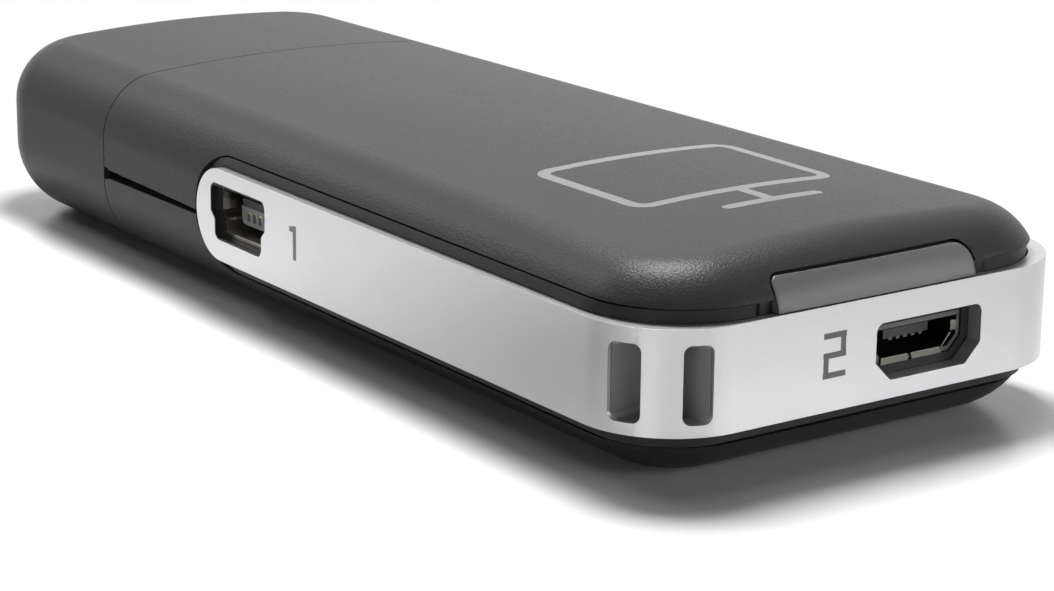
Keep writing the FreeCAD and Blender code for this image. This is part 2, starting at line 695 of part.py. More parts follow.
def make_main_board():
    """Circuit board, notched for the sunk ports and the lanyard pocket."""
    start = HDMI_BACK + BOARD_CLEARANCE
    end = ROOM_END - BOARD_CLEARANCE
    board = prism("XY", tapered_plan(start, end, BOARD_INSET, BOARD_CORNER, ROOM_CORNER - BOARD_CLEARANCE),
                  BOARD_BOTTOM, BOARD_TOP)
    mini_half = MINI_WIDTH / 2 + NOTCH_CLEARANCE
    board = board.cut(block((MINI_X - mini_half, MINI_X + mini_half),
                            (-BAND_HALF, MINI_FACE_Y + MINI_DEPTH + NOTCH_CLEARANCE), (0, HEIGHT)))
    micro_half = MICRO_WIDTH / 2 + NOTCH_CLEARANCE
    board = board.cut(block((MICRO_FACE_X - MICRO_DEPTH - NOTCH_CLEARANCE, END_X),
                            (MICRO_Y - micro_half, MICRO_Y + micro_half), (0, HEIGHT)))
    board = board.cut(block((LANYARD_X - POCKET_WALL - NOTCH_CLEARANCE, END_X),
                            (-BAND_HALF, LANYARD_Y + POCKET_WALL + NOTCH_CLEARANCE), (0, HEIGHT)))
    for x, y in boss_places():
        board = board.cut(rod(SCREW_RADIUS + SCREW_CLEARANCE, V(x, y, 0), V(x, y, HEIGHT)))
    return board


def make_board_screws():
    """Four screws through the board into the lower cover's bosses."""
    screws = []
    for x, y in boss_places():
        shank = rod(SCREW_RADIUS, V(x, y, BOARD_BOTTOM - SCREW_LENGTH), V(x, y, BOARD_TOP))
        head = rod(SCREW_HEAD_RADIUS, V(x, y, BOARD_TOP), V(x, y, BOARD_TOP + SCREW_HEAD_TALL))
        screws.append(shank.fuse(head).removeSplitter())
    return group(screws)


def row_of_contacts(count, pitch, width):
    """Offsets of the two edges of each contact in a row."""
    for i in range(count):
        middle = (i - (count - 1) / 2) * pitch
        yield middle - width / 2, middle + width / 2


def make_hdmi_plug_shell():
    """Folded steel shell of the plug."""
    outer = prism("YZ", hdmi_outline(0), HDMI_TIP, HDMI_BACK)
    return outer.cut(prism("YZ", hdmi_outline(HDMI_SHEET), HDMI_TIP, HDMI_BACK))


def hdmi_slot():
    """Slot through the plug's insulator, for the contacts and the board's edge."""
    half = BOARD_THICK / 2 + HDMI_CONTACT_THICK
    return block((-BEYOND, BEYOND), (-HDMI_SLOT_WIDTH / 2, HDMI_SLOT_WIDTH / 2),
                 (BOARD_MIDDLE - half, BOARD_MIDDLE + half))


def make_hdmi_plug_insulator():
    """Moulded core of the plug."""
    core = prism("YZ", hdmi_outline(HDMI_SHEET + HDMI_CLEARANCE / 2), HDMI_TIP + HDMI_TIP_RECESS, HDMI_BACK)
    return core.cut(hdmi_slot())


def make_hdmi_plug_contacts():
    """Two rows of straight contacts that end on both faces of the board."""
    start = HDMI_TIP + HDMI_TIP_RECESS * 2
    end = HDMI_BACK + HDMI_TAIL
    upper = (BOARD_TOP, BOARD_TOP + HDMI_CONTACT_THICK)
    lower = (BOARD_BOTTOM - HDMI_CONTACT_THICK, BOARD_BOTTOM)
    contacts = []
    for count, z in ((HDMI_TOP_CONTACTS, upper), (HDMI_TOP_CONTACTS - 1, lower)):
        for y in row_of_contacts(count, HDMI_PITCH, HDMI_CONTACT_WIDTH):
            contacts.append(block((start, end), y, z))
    return group(contacts)


def make_mini_usb_shell():
    """Folded shell of the mini-USB port."""
    gap = MINI_COLLAR + USB_CLEARANCE
    outer = prism("XZ", mini_outline(gap), MINI_FACE_Y, MINI_FACE_Y + MINI_DEPTH)
    return outer.cut(prism("XZ", mini_outline(gap + USB_SHEET), -BEYOND, MINI_FACE_Y + MINI_DEPTH))


def make_mini_usb_tongue():
    """Insulator of the mini-USB port: back wall and tongue."""
    inset = MINI_COLLAR + USB_SHEET + 2 * USB_CLEARANCE
    end = MINI_FACE_Y + MINI_DEPTH
    back = prism("XZ", mini_outline(inset), end - MINI_BACK, end)
    half = MINI_TONGUE_WIDTH / 2
    tongue = block((MINI_X - half, MINI_X + half), (MINI_FACE_Y + MINI_TONGUE_RECESS, end),
                   (MINI_Z, MINI_Z + MINI_TONGUE_THICK))
    return back.fuse(tongue).removeSplitter()


def make_mini_usb_contacts():
    """Five contacts under the mini-USB tongue."""
    contacts = []
    for low, high in row_of_contacts(MINI_CONTACTS, MINI_PITCH, MINI_CONTACT_WIDTH):
        contacts.append(block((MINI_X + low, MINI_X + high),
                              (MINI_FACE_Y + MINI_TONGUE_RECESS, MINI_FACE_Y + MINI_DEPTH - MINI_BACK),
                              (MINI_Z - CONTACT_THICK, MINI_Z)))
    return group(contacts)


def make_micro_usb_shell():
    """Folded shell of the micro-USB port."""
    start = MICRO_FACE_X - MICRO_DEPTH
    outer = prism("YZ", micro_outline(MICRO_SHELL_INSET), start, MICRO_FACE_X)
    return outer.cut(prism("YZ", micro_outline(MICRO_SHELL_INSET + USB_SHEET), start, BEYOND))


def make_micro_usb_tongue():
    """Insulator of the micro-USB port: back wall and tongue."""
    start = MICRO_FACE_X - MICRO_DEPTH
    back = prism("YZ", micro_outline(MICRO_SHELL_INSET + USB_SHEET + USB_CLEARANCE), start, start + MICRO_BACK)
    half = MICRO_TONGUE_WIDTH / 2
    tongue = block((start, MICRO_FACE_X - MICRO_TONGUE_RECESS), (MICRO_Y - half, MICRO_Y + half),
                   (MICRO_Z, MICRO_Z + MICRO_TONGUE_THICK))
    return back.fuse(tongue).removeSplitter()


def make_micro_usb_contacts():
    """Five contacts under the micro-USB tongue."""
    start = MICRO_FACE_X - MICRO_DEPTH + MICRO_BACK
    contacts = []
    for low, high in row_of_contacts(MICRO_CONTACTS, MICRO_PITCH, MICRO_CONTACT_WIDTH):
        contacts.append(block((start, MICRO_FACE_X - MICRO_TONGUE_RECESS), (MICRO_Y + low, MICRO_Y + high),
                              (MICRO_Z - CONTACT_THICK, MICRO_Z)))
    return group(contacts)


def card_limits():
    """The card socket's limits across and along the card."""
    half = CARD_SLOT_WIDTH / 2 + CARD_SIDE
    front = half_width(CARD_X - half) - BOARD_INSET
    return (CARD_X - half, CARD_X + half), (front - CARD_DEPTH, front)


def make_card_socket_base():
    """Moulded base of the card socket, under the board."""
    x, y = card_limits()
    return block(x, y, (BOARD_BOTTOM - CARD_BASE_THICK, BOARD_BOTTOM))


def make_card_socket_shell():
    """Folded steel tray of the card socket, open to the slot."""
    x, y = card_limits()
    outer = block(x, y, (CARD_FLOOR - CARD_SHEET, BOARD_BOTTOM - CARD_BASE_THICK))
    inner = block((x[0] + CARD_SIDE, x[1] - CARD_SIDE), (y[0] + CARD_SIDE, y[1]),
                  (CARD_FLOOR, BOARD_BOTTOM - CARD_BASE_THICK))
    return outer.cut(inner)


def make_processor():
    """Main processor on the board."""
    return centred(ROOM_END - PROCESSOR_FROM_END, 0, PROCESSOR_SIZE, PROCESSOR_SIZE, BOARD_TOP, PAD_Z)


def make_thermal_pad():
    """Soft pad between the processor and the heat spreader."""
    return centred(ROOM_END - PROCESSOR_FROM_END, 0, PROCESSOR_SIZE, PROCESSOR_SIZE, PAD_Z, SPREADER_Z)


def make_heat_spreader():
    """Aluminium plate with four legs that stand on the board."""
    x = (SPREADER_START, SPREADER_START + SPREADER_LENGTH)
    half = SPREADER_WIDTH / 2
    plate = prism("XY", rectangle(x, (-half, half), SPREADER_CORNER), SPREADER_Z, SPREADER_Z + SPREADER_THICK)
    legs = []
    for leg_x in (x[0] + SPREADER_CORNER + SPREADER_LEG, x[1] - SPREADER_CORNER - SPREADER_LEG):
        for leg_y in (-half + SPREADER_LEG / 2, half - SPREADER_LEG / 2):
            legs.append(centred(leg_x, leg_y, SPREADER_LEG, SPREADER_LEG, BOARD_TOP, SPREADER_Z))
    return plate.fuse(legs).removeSplitter()


def make_memory_chips():
    """Two memory chips on the board."""
    x = ROOM_END - MEMORY_FROM_END
    return group([centred(x, y, MEMORY_LENGTH, MEMORY_WIDTH, BOARD_TOP, BOARD_TOP + MEMORY_TALL)
                  for y in (-MEMORY_SPACING / 2, MEMORY_SPACING / 2)])


def make_flash_chip():
    """Storage chip under the board."""
    return centred(HDMI_BACK + FLASH_FROM_PLUG, 0, FLASH_LENGTH, FLASH_WIDTH,
                   BOARD_BOTTOM - FLASH_TALL, BOARD_BOTTOM)


def make_power_chip():
    """Power controller under the board."""
    return centred(ROOM_END - POWER_CHIP_FROM_END, 0, POWER_CHIP_SIZE, POWER_CHIP_SIZE,
                   BOARD_BOTTOM - POWER_CHIP_TALL, BOARD_BOTTOM)


def make_wireless_module():
    """Small radio board on the main board."""
    return centred(HDMI_BACK + RADIO_FROM_PLUG, RADIO_Y, RADIO_SIZE, RADIO_SIZE,
                   BOARD_TOP, BOARD_TOP + RADIO_THICK)


def make_wireless_shield():
    """Folded steel can over the radio board."""
    x = HDMI_BACK + RADIO_FROM_PLUG
    low = BOARD_TOP + RADIO_THICK
    size = RADIO_SIZE - 2 * SHIELD_INSET
    inner = size - 2 * SHIELD_SHEET
    can = centred(x, RADIO_Y, size, size, low, low + SHIELD_TALL)
    return can.cut(centred(x, RADIO_Y, inner, inner, low, low + SHIELD_TALL - SHIELD_SHEET))


def make_power_inductors():
    """Row of moulded inductors."""
    x = HDMI_BACK + INDUCTOR_FROM_PLUG
    return group([centred(x + i * INDUCTOR_PITCH, INDUCTOR_Y, INDUCTOR_SIZE, INDUCTOR_SIZE,
                          BOARD_TOP, BOARD_TOP + INDUCTOR_TALL) for i in range(INDUCTORS)])


def make_capacitors():
    """Row of small capacitors beside the processor."""
    x = ROOM_END - CAPACITOR_FROM_END
    return group([centred(x + i * CAPACITOR_PITCH, CAPACITOR_Y, CAPACITOR_LENGTH, CAPACITOR_WIDTH,
                          BOARD_TOP, BOARD_TOP + CAPACITOR_WIDTH) for i in range(CAPACITORS)])


def make_crystals():
    """Two crystal cans."""
    x = ROOM_END - CRYSTAL_FROM_END
    return group([centred(x, y, CRYSTAL_LENGTH, CRYSTAL_WIDTH, BOARD_TOP, BOARD_TOP + CRYSTAL_TALL)
                  for y in (CRYSTAL_Y, CRYSTAL_Y + CRYSTAL_PITCH)])


def make_status_lights():
    """Two lights that shine through the key."""
    return group([centred(ROOM_END - LIGHT_FROM_END, LIGHT_Y + i * LIGHT_PITCH, LIGHT_LENGTH, LIGHT_WIDTH,
                          BOARD_TOP, BOARD_TOP + LIGHT_TALL) for i in (0, 1)])


def make_antenna():
    """Folded strip that stands on the board's edge, on two feet."""
    start = HDMI_BACK + ANTENNA_FROM_PLUG
    x = (start, start + ANTENNA_LENGTH)
    y = half_width(start) - BOARD_INSET - ANTENNA_FROM_SIDE
    wall = block(x, (y, y + ANTENNA_SHEET), (BOARD_TOP, BOARD_TOP + ANTENNA_TALL))
    window = block((x[0] + ANTENNA_FOOT, x[1] - ANTENNA_FOOT), (0, BEYOND),
                   (BOARD_TOP, BOARD_TOP + ANTENNA_TALL / 2))
    roof = block(x, (y, y + ANTENNA_TOP), (BOARD_TOP + ANTENNA_TALL - ANTENNA_SHEET, BOARD_TOP + ANTENNA_TALL))
    return wall.cut(window).fuse(roof).removeSplitter()


PIECES = {
    "upper_cover": make_upper_cover,
    "lower_cover": make_lower_cover,
    "mid_frame": make_mid_frame,
    "silver_band": make_silver_band,
    "end_cap": make_end_cap,
    "function_key": make_function_key,
    "key_switch": make_key_switch,
    "key_switch_plunger": make_key_switch_plunger,
    "main_board": make_main_board,
    "board_screws": make_board_screws,
    "hdmi_plug_shell": make_hdmi_plug_shell,
    "hdmi_plug_insulator": make_hdmi_plug_insulator,
    "hdmi_plug_contacts": make_hdmi_plug_contacts,
    "mini_usb_shell": make_mini_usb_shell,
    "mini_usb_tongue": make_mini_usb_tongue,
    "mini_usb_contacts": make_mini_usb_contacts,
    "micro_usb_shell": make_micro_usb_shell,
    "micro_usb_tongue": make_micro_usb_tongue,
    "micro_usb_contacts": make_micro_usb_contacts,
    "card_socket_base": make_card_socket_base,
    "card_socket_shell": make_card_socket_shell,
    "processor": make_processor,
    "thermal_pad": make_thermal_pad,
    "heat_spreader": make_heat_spreader,
    "memory_chips": make_memory_chips,
    "flash_chip": make_flash_chip,
    "power_chip": make_power_chip,
    "wireless_module": make_wireless_module,
    "wireless_shield": make_wireless_shield,
    "power_inductors": make_power_inductors,
    "capacitors": make_capacitors,
    "crystals": make_crystals,
    "status_lights": make_status_lights,
    "antenna": make_antenna,
}

os.makedirs("parts", exist_ok=True)
for name, make in PIECES.items():
    shape = make()
    shape.exportStep(f"parts/{name}.step")
    print(name, len(shape.Solids), "solids,", round(shape.Volume, 1), "mm3, valid", shape.isValid())
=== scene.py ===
"""Looks of a pocket stick computer with a capped plug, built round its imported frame.

Shells are modelled in millimetres in the object's own frame: +X towards the micro-USB end,
-X towards the end cap, +Z up. Finished pieces are brought to metres.
"""

from __future__ import annotations

import json
import logging
import math
from collections.abc import Callable, Sequence
from dataclasses import dataclass
from enum import Enum

import bmesh
import bpy
from mathutils import Matrix, Vector

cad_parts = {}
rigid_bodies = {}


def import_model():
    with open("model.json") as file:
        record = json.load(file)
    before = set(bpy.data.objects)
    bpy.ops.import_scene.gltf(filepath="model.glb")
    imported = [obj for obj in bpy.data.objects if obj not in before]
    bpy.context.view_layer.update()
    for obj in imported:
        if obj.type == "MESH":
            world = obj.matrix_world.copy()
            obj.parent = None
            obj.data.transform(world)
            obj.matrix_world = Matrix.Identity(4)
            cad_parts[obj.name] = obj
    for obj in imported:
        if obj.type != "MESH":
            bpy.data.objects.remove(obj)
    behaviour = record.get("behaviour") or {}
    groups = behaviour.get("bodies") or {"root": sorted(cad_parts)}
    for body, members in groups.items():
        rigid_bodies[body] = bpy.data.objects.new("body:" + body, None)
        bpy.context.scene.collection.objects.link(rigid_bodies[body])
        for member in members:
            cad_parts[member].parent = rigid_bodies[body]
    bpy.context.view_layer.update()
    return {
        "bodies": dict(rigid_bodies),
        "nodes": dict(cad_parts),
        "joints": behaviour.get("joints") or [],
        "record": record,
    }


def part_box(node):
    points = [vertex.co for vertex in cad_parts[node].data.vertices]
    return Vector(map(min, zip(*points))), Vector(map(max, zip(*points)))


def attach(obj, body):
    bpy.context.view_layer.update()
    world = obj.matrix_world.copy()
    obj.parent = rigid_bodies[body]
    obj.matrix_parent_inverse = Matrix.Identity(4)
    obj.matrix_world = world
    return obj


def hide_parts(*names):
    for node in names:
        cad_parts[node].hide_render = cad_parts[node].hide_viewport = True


LOG = logging.getLogger("stick_computer")
MM = 0.001
FAR = 60.0  # further out than any part of the object, in millimetres
COVER_WALL = 1.2
CAP_WALL = 1.3
COVER_EDGE = 0.12
MINI_USB_MIDDLE = (-4.07, 7.4)
MICRO_USB_MIDDLE = (4.3, 6.86)


class Plane(Enum):
    """The plane that a flat outline is drawn in."""

    PLAN = "xy"
    SIDE = "xz"
    END = "yz"

    def place(self, u: float, v: float, w: float) -> Vector:
        """A point from its two coordinates in the plane and its distance along the plane's normal."""
        if self is Plane.PLAN:
            return Vector((u, v, w))
        if self is Plane.SIDE:
            return Vector((u, w, v))
        return Vector((w, u, v))


class Carve(Enum):
    """How a tool solid works on a form."""

    CUT = "DIFFERENCE"
    KEEP = "INTERSECT"


@dataclass(frozen=True)
class Corner:
    """One corner of a flat outline, with the radius that rounds it."""

    u: float
    v: float
    radius: float = 0.0


def rounded_box(u: tuple[float, float], v: tuple[float, float], radius: float) -> list[Corner]:
    """Four corners of a rectangle.

    Args:
        u: Limits along the plane's first axis.
        v: Limits along its second axis.
        radius: Radius of all four corners.

    Returns:
        The corners in order.
    """
    return [Corner(u[0], v[0], radius), Corner(u[1], v[0], radius), Corner(u[1], v[1], radius),
            Corner(u[0], v[1], radius)]


class Form:
    def __init__(self) -> None:
        """Starts with nothing."""
        self.bm = bmesh.new()

    @classmethod
    def prism(cls, plane: Plane, corners: Sequence[Corner], low: float, high: float,
              segments: int = 8) -> Form:
        """Draws a rounded outline out along its plane's normal.

        Args:
            plane: Plane of the outline.
            corners: Its corners, in order.
            low: Where the prism starts.
            high: Where it ends.
            segments: Segments of each rounded corner.

        Returns:
            The closed form.
        """
        form = cls()
        verts = [form.bm.verts.new(plane.place(c.u, c.v, low)) for c in corners]
        form.bm.faces.new(verts)
        for i, corner in enumerate(corners):
            if corner.radius <= 0:
                continue
            before = corners[i - 1]
            after = corners[(i + 1) % len(corners)]
            back = Vector((before.u - corner.u, before.v - corner.v))
            ahead = Vector((after.u - corner.u, after.v - corner.v))
            reach = corner.radius / math.tan(back.angle(ahead) / 2)
            bmesh.ops.bevel(form.bm, geom=[verts[i]], offset=reach, offset_type="OFFSET",
                            segments=segments, profile=0.5, affect="VERTICES", material=-1)
        return form.extrude(plane.place(0, 0, high - low))

    def extrude(self, way: Vector) -> Form:
        """Draws all the faces out along a vector and closes the form."""
        made = bmesh.ops.extrude_face_region(self.bm, geom=self.bm.faces[:])["geom"]
        bmesh.ops.translate(self.bm, verts=[g for g in made if isinstance(g, bmesh.types.BMVert)], vec=way)
        bmesh.ops.recalc_face_normals(self.bm, faces=self.bm.faces[:])
        return self

    def bevel(self, pick: Callable[[bmesh.types.BMEdge], bool], width: float, segments: int) -> Form:
        """Rounds the edges that a test picks.

        Args:
            pick: Says whether an edge is rounded.
            width: Radius of the round.
            segments: Segments across it.

        Returns:
            The same form.
        """
        edges = [e for e in self.bm.edges if pick(e)]
        bmesh.ops.bevel(self.bm, geom=edges, offset=width, offset_type="OFFSET", segments=segments,
                        profile=0.5, affect="EDGES", material=-1, clamp_overlap=False)
        return self

    def slice(self, point: Sequence[float], normal: Sequence[float], keep_ahead: bool = False) -> Form:
        """Cuts all faces along a plane.

        Args:
            point: A point of the plane.
            normal: The plane's normal.
            keep_ahead: Whether what lies behind the plane is taken away.

        Returns:
            The same form, open where something was taken away.
        """
        geom = self.bm.verts[:] + self.bm.edges[:] + self.bm.faces[:]
        bmesh.ops.bisect_plane(self.bm, geom=geom, dist=1e-5, plane_co=point, plane_no=normal,
                               clear_inner=keep_ahead)
        return self

    def drop_faces(self, pick: Callable[[bmesh.types.BMFace], bool]) -> Form:
        """Deletes the faces that a test picks."""
        faces = [f for f in self.bm.faces if pick(f)]
        bmesh.ops.delete(self.bm, geom=faces, context="FACES")
        return self

    def shift(self, move: Callable[[Vector], Vector]) -> Form:
        """Moves every vertex to where a rule puts it."""
        for vert in self.bm.verts:
            vert.co = move(vert.co)
        return self

    def to_mesh(self, name: str) -> bpy.types.Mesh:
        """Writes the form to a new mesh and frees it."""
        mesh = bpy.data.meshes.new(name)
        self.bm.to_mesh(mesh)
        self.bm.free()
        return mesh

    def thicken(self, wall: float) -> Form:
        """Gives an open shell its wall, inwards.

        Args:
            wall: Thickness of the wall.

        Returns:
            The same form, closed.
        """
        return self._modified("SOLIDIFY", thickness=wall, offset=-1.0, use_even_offset=True,
                              use_quality_normals=True)

    def carve(self, how: Carve, *tools: Form) -> Form:
        """Cuts the form with other solids, or keeps what lies inside them.

        Args:
            how: What the tools do.
            tools: Closed forms, used up here.

        Returns:
            The same form.
        """
        for tool in tools:
            helper = bpy.data.objects.new("tool", tool.to_mesh("tool"))
            self._modified("BOOLEAN", object=helper, operation=how.value, solver="EXACT")
            mesh = helper.data
            bpy.data.objects.remove(helper)
            bpy.data.meshes.remove(mesh)
        return self

    def _modified(self, kind: str, **settings: object) -> Form:
        """Runs one of Blender's modifiers on the form and keeps its result."""
        mesh = bpy.data.meshes.new("form")
        self.bm.to_mesh(mesh)
        holder = bpy.data.objects.new("form", mesh)
        bpy.context.scene.collection.objects.link(holder)
        tool = settings.get("object")
        if tool is not None:
            bpy.context.scene.collection.objects.link(tool)
        modifier = holder.modifiers.new("step", kind)
        for key, value in settings.items():
            setattr(modifier, key, value)
        graph = bpy.context.evaluated_depsgraph_get()
        result = bpy.data.meshes.new_from_object(holder.evaluated_get(graph))
        self.bm.clear()
        self.bm.from_mesh(result)
        bpy.data.objects.remove(holder)
        bpy.data.meshes.remove(mesh)
        bpy.data.meshes.remove(result)
        return self

    def finish(self, name: str, edge: float = 0.0, segments: int = 2) -> bpy.types.Object:
        """Turns the form into a finished object at the origin, in metres.

        Args:
            name: Name of the piece.
            edge: Radius of its small edge rounds, in millimetres.
            segments: Segments across them.

        Returns:
            The object, linked to the scene.
        """
        bmesh.ops.remove_doubles(self.bm, verts=self.bm.verts[:], dist=1e-5)
        bmesh.ops.scale(self.bm, vec=(MM, MM, MM), verts=self.bm.verts[:])
        for face in self.bm.faces:
            face.smooth = True
        piece = bpy.data.objects.new(name, self.to_mesh(name))
        bpy.context.scene.collection.objects.link(piece)
        if edge > 0:
            rounds = piece.modifiers.new("edge_rounds", "BEVEL")
            rounds.width = edge * MM
            rounds.segments = segments
            rounds.limit_method = "ANGLE"
            rounds.angle_limit = math.radians(35)
            rounds.use_clamp_overlap = True
        normals = piece.modifiers.new("flat_faces_first", "WEIGHTED_NORMAL")
        normals.keep_sharp = True
        return piece


class Wire:
    """A shader socket that Python's operators turn into Math nodes."""

    def __init__(self, paint: Paint, socket: bpy.types.NodeSocket) -> None:
        """Holds a socket and the material that it belongs to."""
        self.paint = paint
        self.socket = socket

    def math(self, operation: str, *values: Wire | float, clamp: bool = False) -> Wire:
        """A Math node on this socket and others.

        Args:
            operation: Blender's name for the operation.
            values: The other operands.
            clamp: Whether the result stays between 0 and 1.

        Returns:
            The node's result.
        """
        return self.paint.node("ShaderNodeMath", {"operation": operation, "use_clamp": clamp},
                               {0: self, **{i + 1: v for i, v in enumerate(values)}})

    def __add__(self, other: Wire | float) -> Wire:
        """Sum."""
        return self.math("ADD", other)

    __radd__ = __add__

    def __mul__(self, other: Wire | float) -> Wire:
        """Product."""
        return self.math("MULTIPLY", other)

    __rmul__ = __mul__

    def __sub__(self, other: Wire | float) -> Wire:
        """Difference."""
        return self.math("SUBTRACT", other)

    def __rsub__(self, other: float) -> Wire:
        """A number less this socket."""
        return (self * -1.0) + other

    def __truediv__(self, other: Wire | float) -> Wire:
        """Quotient."""
        return self.math("DIVIDE", other)

    def ramp(self, *stops: tuple[float, float]) -> Wire:
        """A grey ramp.

        Args:
            stops: Places from 0 to 1, each with its value.

        Returns:
            The ramp's value as a colour socket.
        """
        colours = [(place, (value, value, value, 1.0)) for place, value in stops]
        return self.paint.node("ShaderNodeValToRGB", {"stops": colours}, {"Fac": self})


class Paint:
    """A material under construction."""

    def __init__(self, name: str) -> None:
        """Makes an empty node material.

        Args:
            name: Name of the material.
        """
        self.material = bpy.data.materials.new(name)
        self.material.use_nodes = True
        self.tree = self.material.node_tree
        self.tree.nodes.clear()
        self.place = self.node("ShaderNodeTexCoord", output="Object")

    def node(self, kind: str, settings: dict[str, object] | None = None,
             inputs: dict[str | int, object] | None = None, output: str | int = 0) -> Wire:
        """Adds a node of any type.

        Args:
            kind: Blender's name for the node type.
            settings: The node's own settings, with a ramp's stops under "stops".
            inputs: Values or wires for its sockets.
            output: Which output is wanted.

        Returns:
            That output.
        """
        made = self.tree.nodes.new(kind)
        for key, value in (settings or {}).items():
            if key == "stops":
                self._set_stops(made.color_ramp, value)
            else:
                setattr(made, key, value)
        for key, value in (inputs or {}).items():
            if isinstance(value, Wire):
                self.tree.links.new(value.socket, made.inputs[key])
            else:
                made.inputs[key].default_value = value
        return Wire(self, made.outputs[output])

    @staticmethod
    def _set_stops(ramp: bpy.types.ColorRamp, stops: list[tuple[float, tuple[float, ...]]]) -> None:
        """Gives a colour ramp its stops."""
        while len(ramp.elements) > 1:
            ramp.elements.remove(ramp.elements[-1])
        ramp.elements[0].position, ramp.elements[0].color = stops[0]
        for place, colour in stops[1:]:
            ramp.elements.new(place).color = colour

    def axes(self) -> dict[str, Wire]:
        """The three object coordinates, in metres."""
        split = self.node("ShaderNodeSeparateXYZ", {}, {"Vector": self.place})
        return {axis: Wire(self, split.socket.node.outputs[axis]) for axis in "XYZ"}

    def noise(self, size: float, detail: float = 2.0, stretch: Sequence[float] = (1, 1, 1)) -> Wire:
        """Noise whose grains are about as wide as a size.

        Args:
            size: Width of a grain in millimetres.
            detail: Finer octaves.
            stretch: How the pattern is drawn out along each axis.

        Returns:
            Values round 0.5.
        """
        scaled = self.node("ShaderNodeMapping", {},
                           {"Vector": self.place, "Scale": tuple(1 / s for s in stretch)})
        return self.node("ShaderNodeTexNoise", {"noise_dimensions": "3D"},
                         {"Vector": scaled, "Scale": 1 / (size * MM), "Detail": detail})

    def bump(self, height: Wire, depth: float, strength: float = 1.0) -> Wire:
        """Turns heights into a normal.

        Args:
            height: Heights from 0 to 1.
            depth: Depth of the relief in millimetres.
            strength: Share of it that shows.

        Returns:
            The normal.
        """
        return self.node("ShaderNodeBump", {},
                         {"Height": height, "Distance": depth * MM, "Strength": strength}, "Normal")

    def blend(self, factor: Wire | float, first: Sequence[float] | Wire,
              second: Sequence[float] | Wire) -> Wire:
        """Mixes two colours.

        Args:
            factor: Share of the second.
            first: A linear colour or a wire.
            second: Another.

        Returns:
            The mixed colour.
        """
        inputs = {"Factor": factor, "A": first, "B": second}
        made = self.tree.nodes.new("ShaderNodeMix")
        made.data_type = "RGBA"
        sockets = {"Factor": 0, "A": 6, "B": 7}
        for key, value in inputs.items():
            socket = made.inputs[sockets[key]]
            if isinstance(value, Wire):
                self.tree.links.new(value.socket, socket)
            elif key == "Factor":
                socket.default_value = value
            else:
                socket.default_value = (*value[:3], 1.0)
        return Wire(self, made.outputs[2])

    def principled(self, **sockets: object) -> Wire:
        """Adds the surface shader and makes it the material's surface.

        Args:
            sockets: Its sockets by name, with spaces written as underscores.

        Returns:
            The shader.
        """
        inputs = {key.replace("_", " "): value for key, value in sockets.items()}
        shader = self.node("ShaderNodeBsdfPrincipled", {}, inputs)
        return self.surface(shader)

    def surface(self, shader: Wire) -> Wire:
        """Makes a shader the material's surface."""
        made = self.tree.nodes.new("ShaderNodeOutputMaterial")
        self.tree.links.new(shader.socket, made.inputs["Surface"])
        return shader


Colour = tuple[float, float, float]


@dataclass(frozen=True)
class Bar:
    """One straight bar of a print, in millimetres, with round ends if it has a radius."""

    u: float
    v: float
    half_u: float
    half_v: float
    radius: float = 0.0
    line: float = 0.0

    def mask(self, across: Wire, along: Wire) -> Wire:
        """Where the bar is printed.

        Args:
            across: Places along the print's first axis, in metres.
            along: Places along its second axis.

        Returns:
            1 on the bar and 0 off it.
        """
        inner_u = (self.half_u - self.radius) * MM
        inner_v = (self.half_v - self.radius) * MM
        du = (across - self.u * MM).math("ABSOLUTE") - inner_u
        dv = (along - self.v * MM).math("ABSOLUTE") - inner_v
        outside_u = du.math("MAXIMUM", 0.0)
        outside_v = dv.math("MAXIMUM", 0.0)
        away = (outside_u * outside_u + outside_v * outside_v).math("SQRT")
        inside = du.math("MAXIMUM", dv).math("MINIMUM", 0.0)
        distance = away + inside - self.radius * MM
        if self.line > 0:
            distance = (distance + self.line / 2 * MM).math("ABSOLUTE") - self.line / 2 * MM
        return distance.math("LESS_THAN", 0.0)


class Print(Enum):
    """Generic marks: a plain screen on the top, and plain numbers by the ports."""

    NONE = ("", "", ())
    SCREEN = ("X", "Y", (
        Bar(25.3, 0.5, 6.2, 8.6, 1.6, 0.9),
        Bar(34.6, 0.5, 0.45, 4.2, 0.45),
        Bar(33.0, 0.5, 1.6, 0.45, 0.0)))
    NUMBERS = ("XY", "Z", (
        Bar(-13.4, 7.45, 0.22, 1.25),
        Bar(-13.78, 8.4, 0.32, 0.2),
        Bar(42.25, 8.7, 0.95, 0.2),
        Bar(42.95, 8.05, 0.22, 0.85),
        Bar(42.25, 7.4, 0.95, 0.2),
        Bar(41.55, 6.75, 0.22, 0.85),
        Bar(42.25, 6.1, 0.95, 0.2)))

    def mask(self, paint: Paint) -> Wire:
        """Where the print lies, on the near side or the end only if it is drawn round them."""
        first, second, bars = self.value
        axes = paint.axes()
        across = axes["X"] if first == "X" else axes["X"] + axes["Y"]
        total: Wire | float = 0.0
        for bar in bars:
            total = bar.mask(across, axes[second]) + total
        near_side = 1.0 if first == "X" else axes["Y"].math("LESS_THAN", 0.0)
        return total.math("MINIMUM", 1.0) * near_side


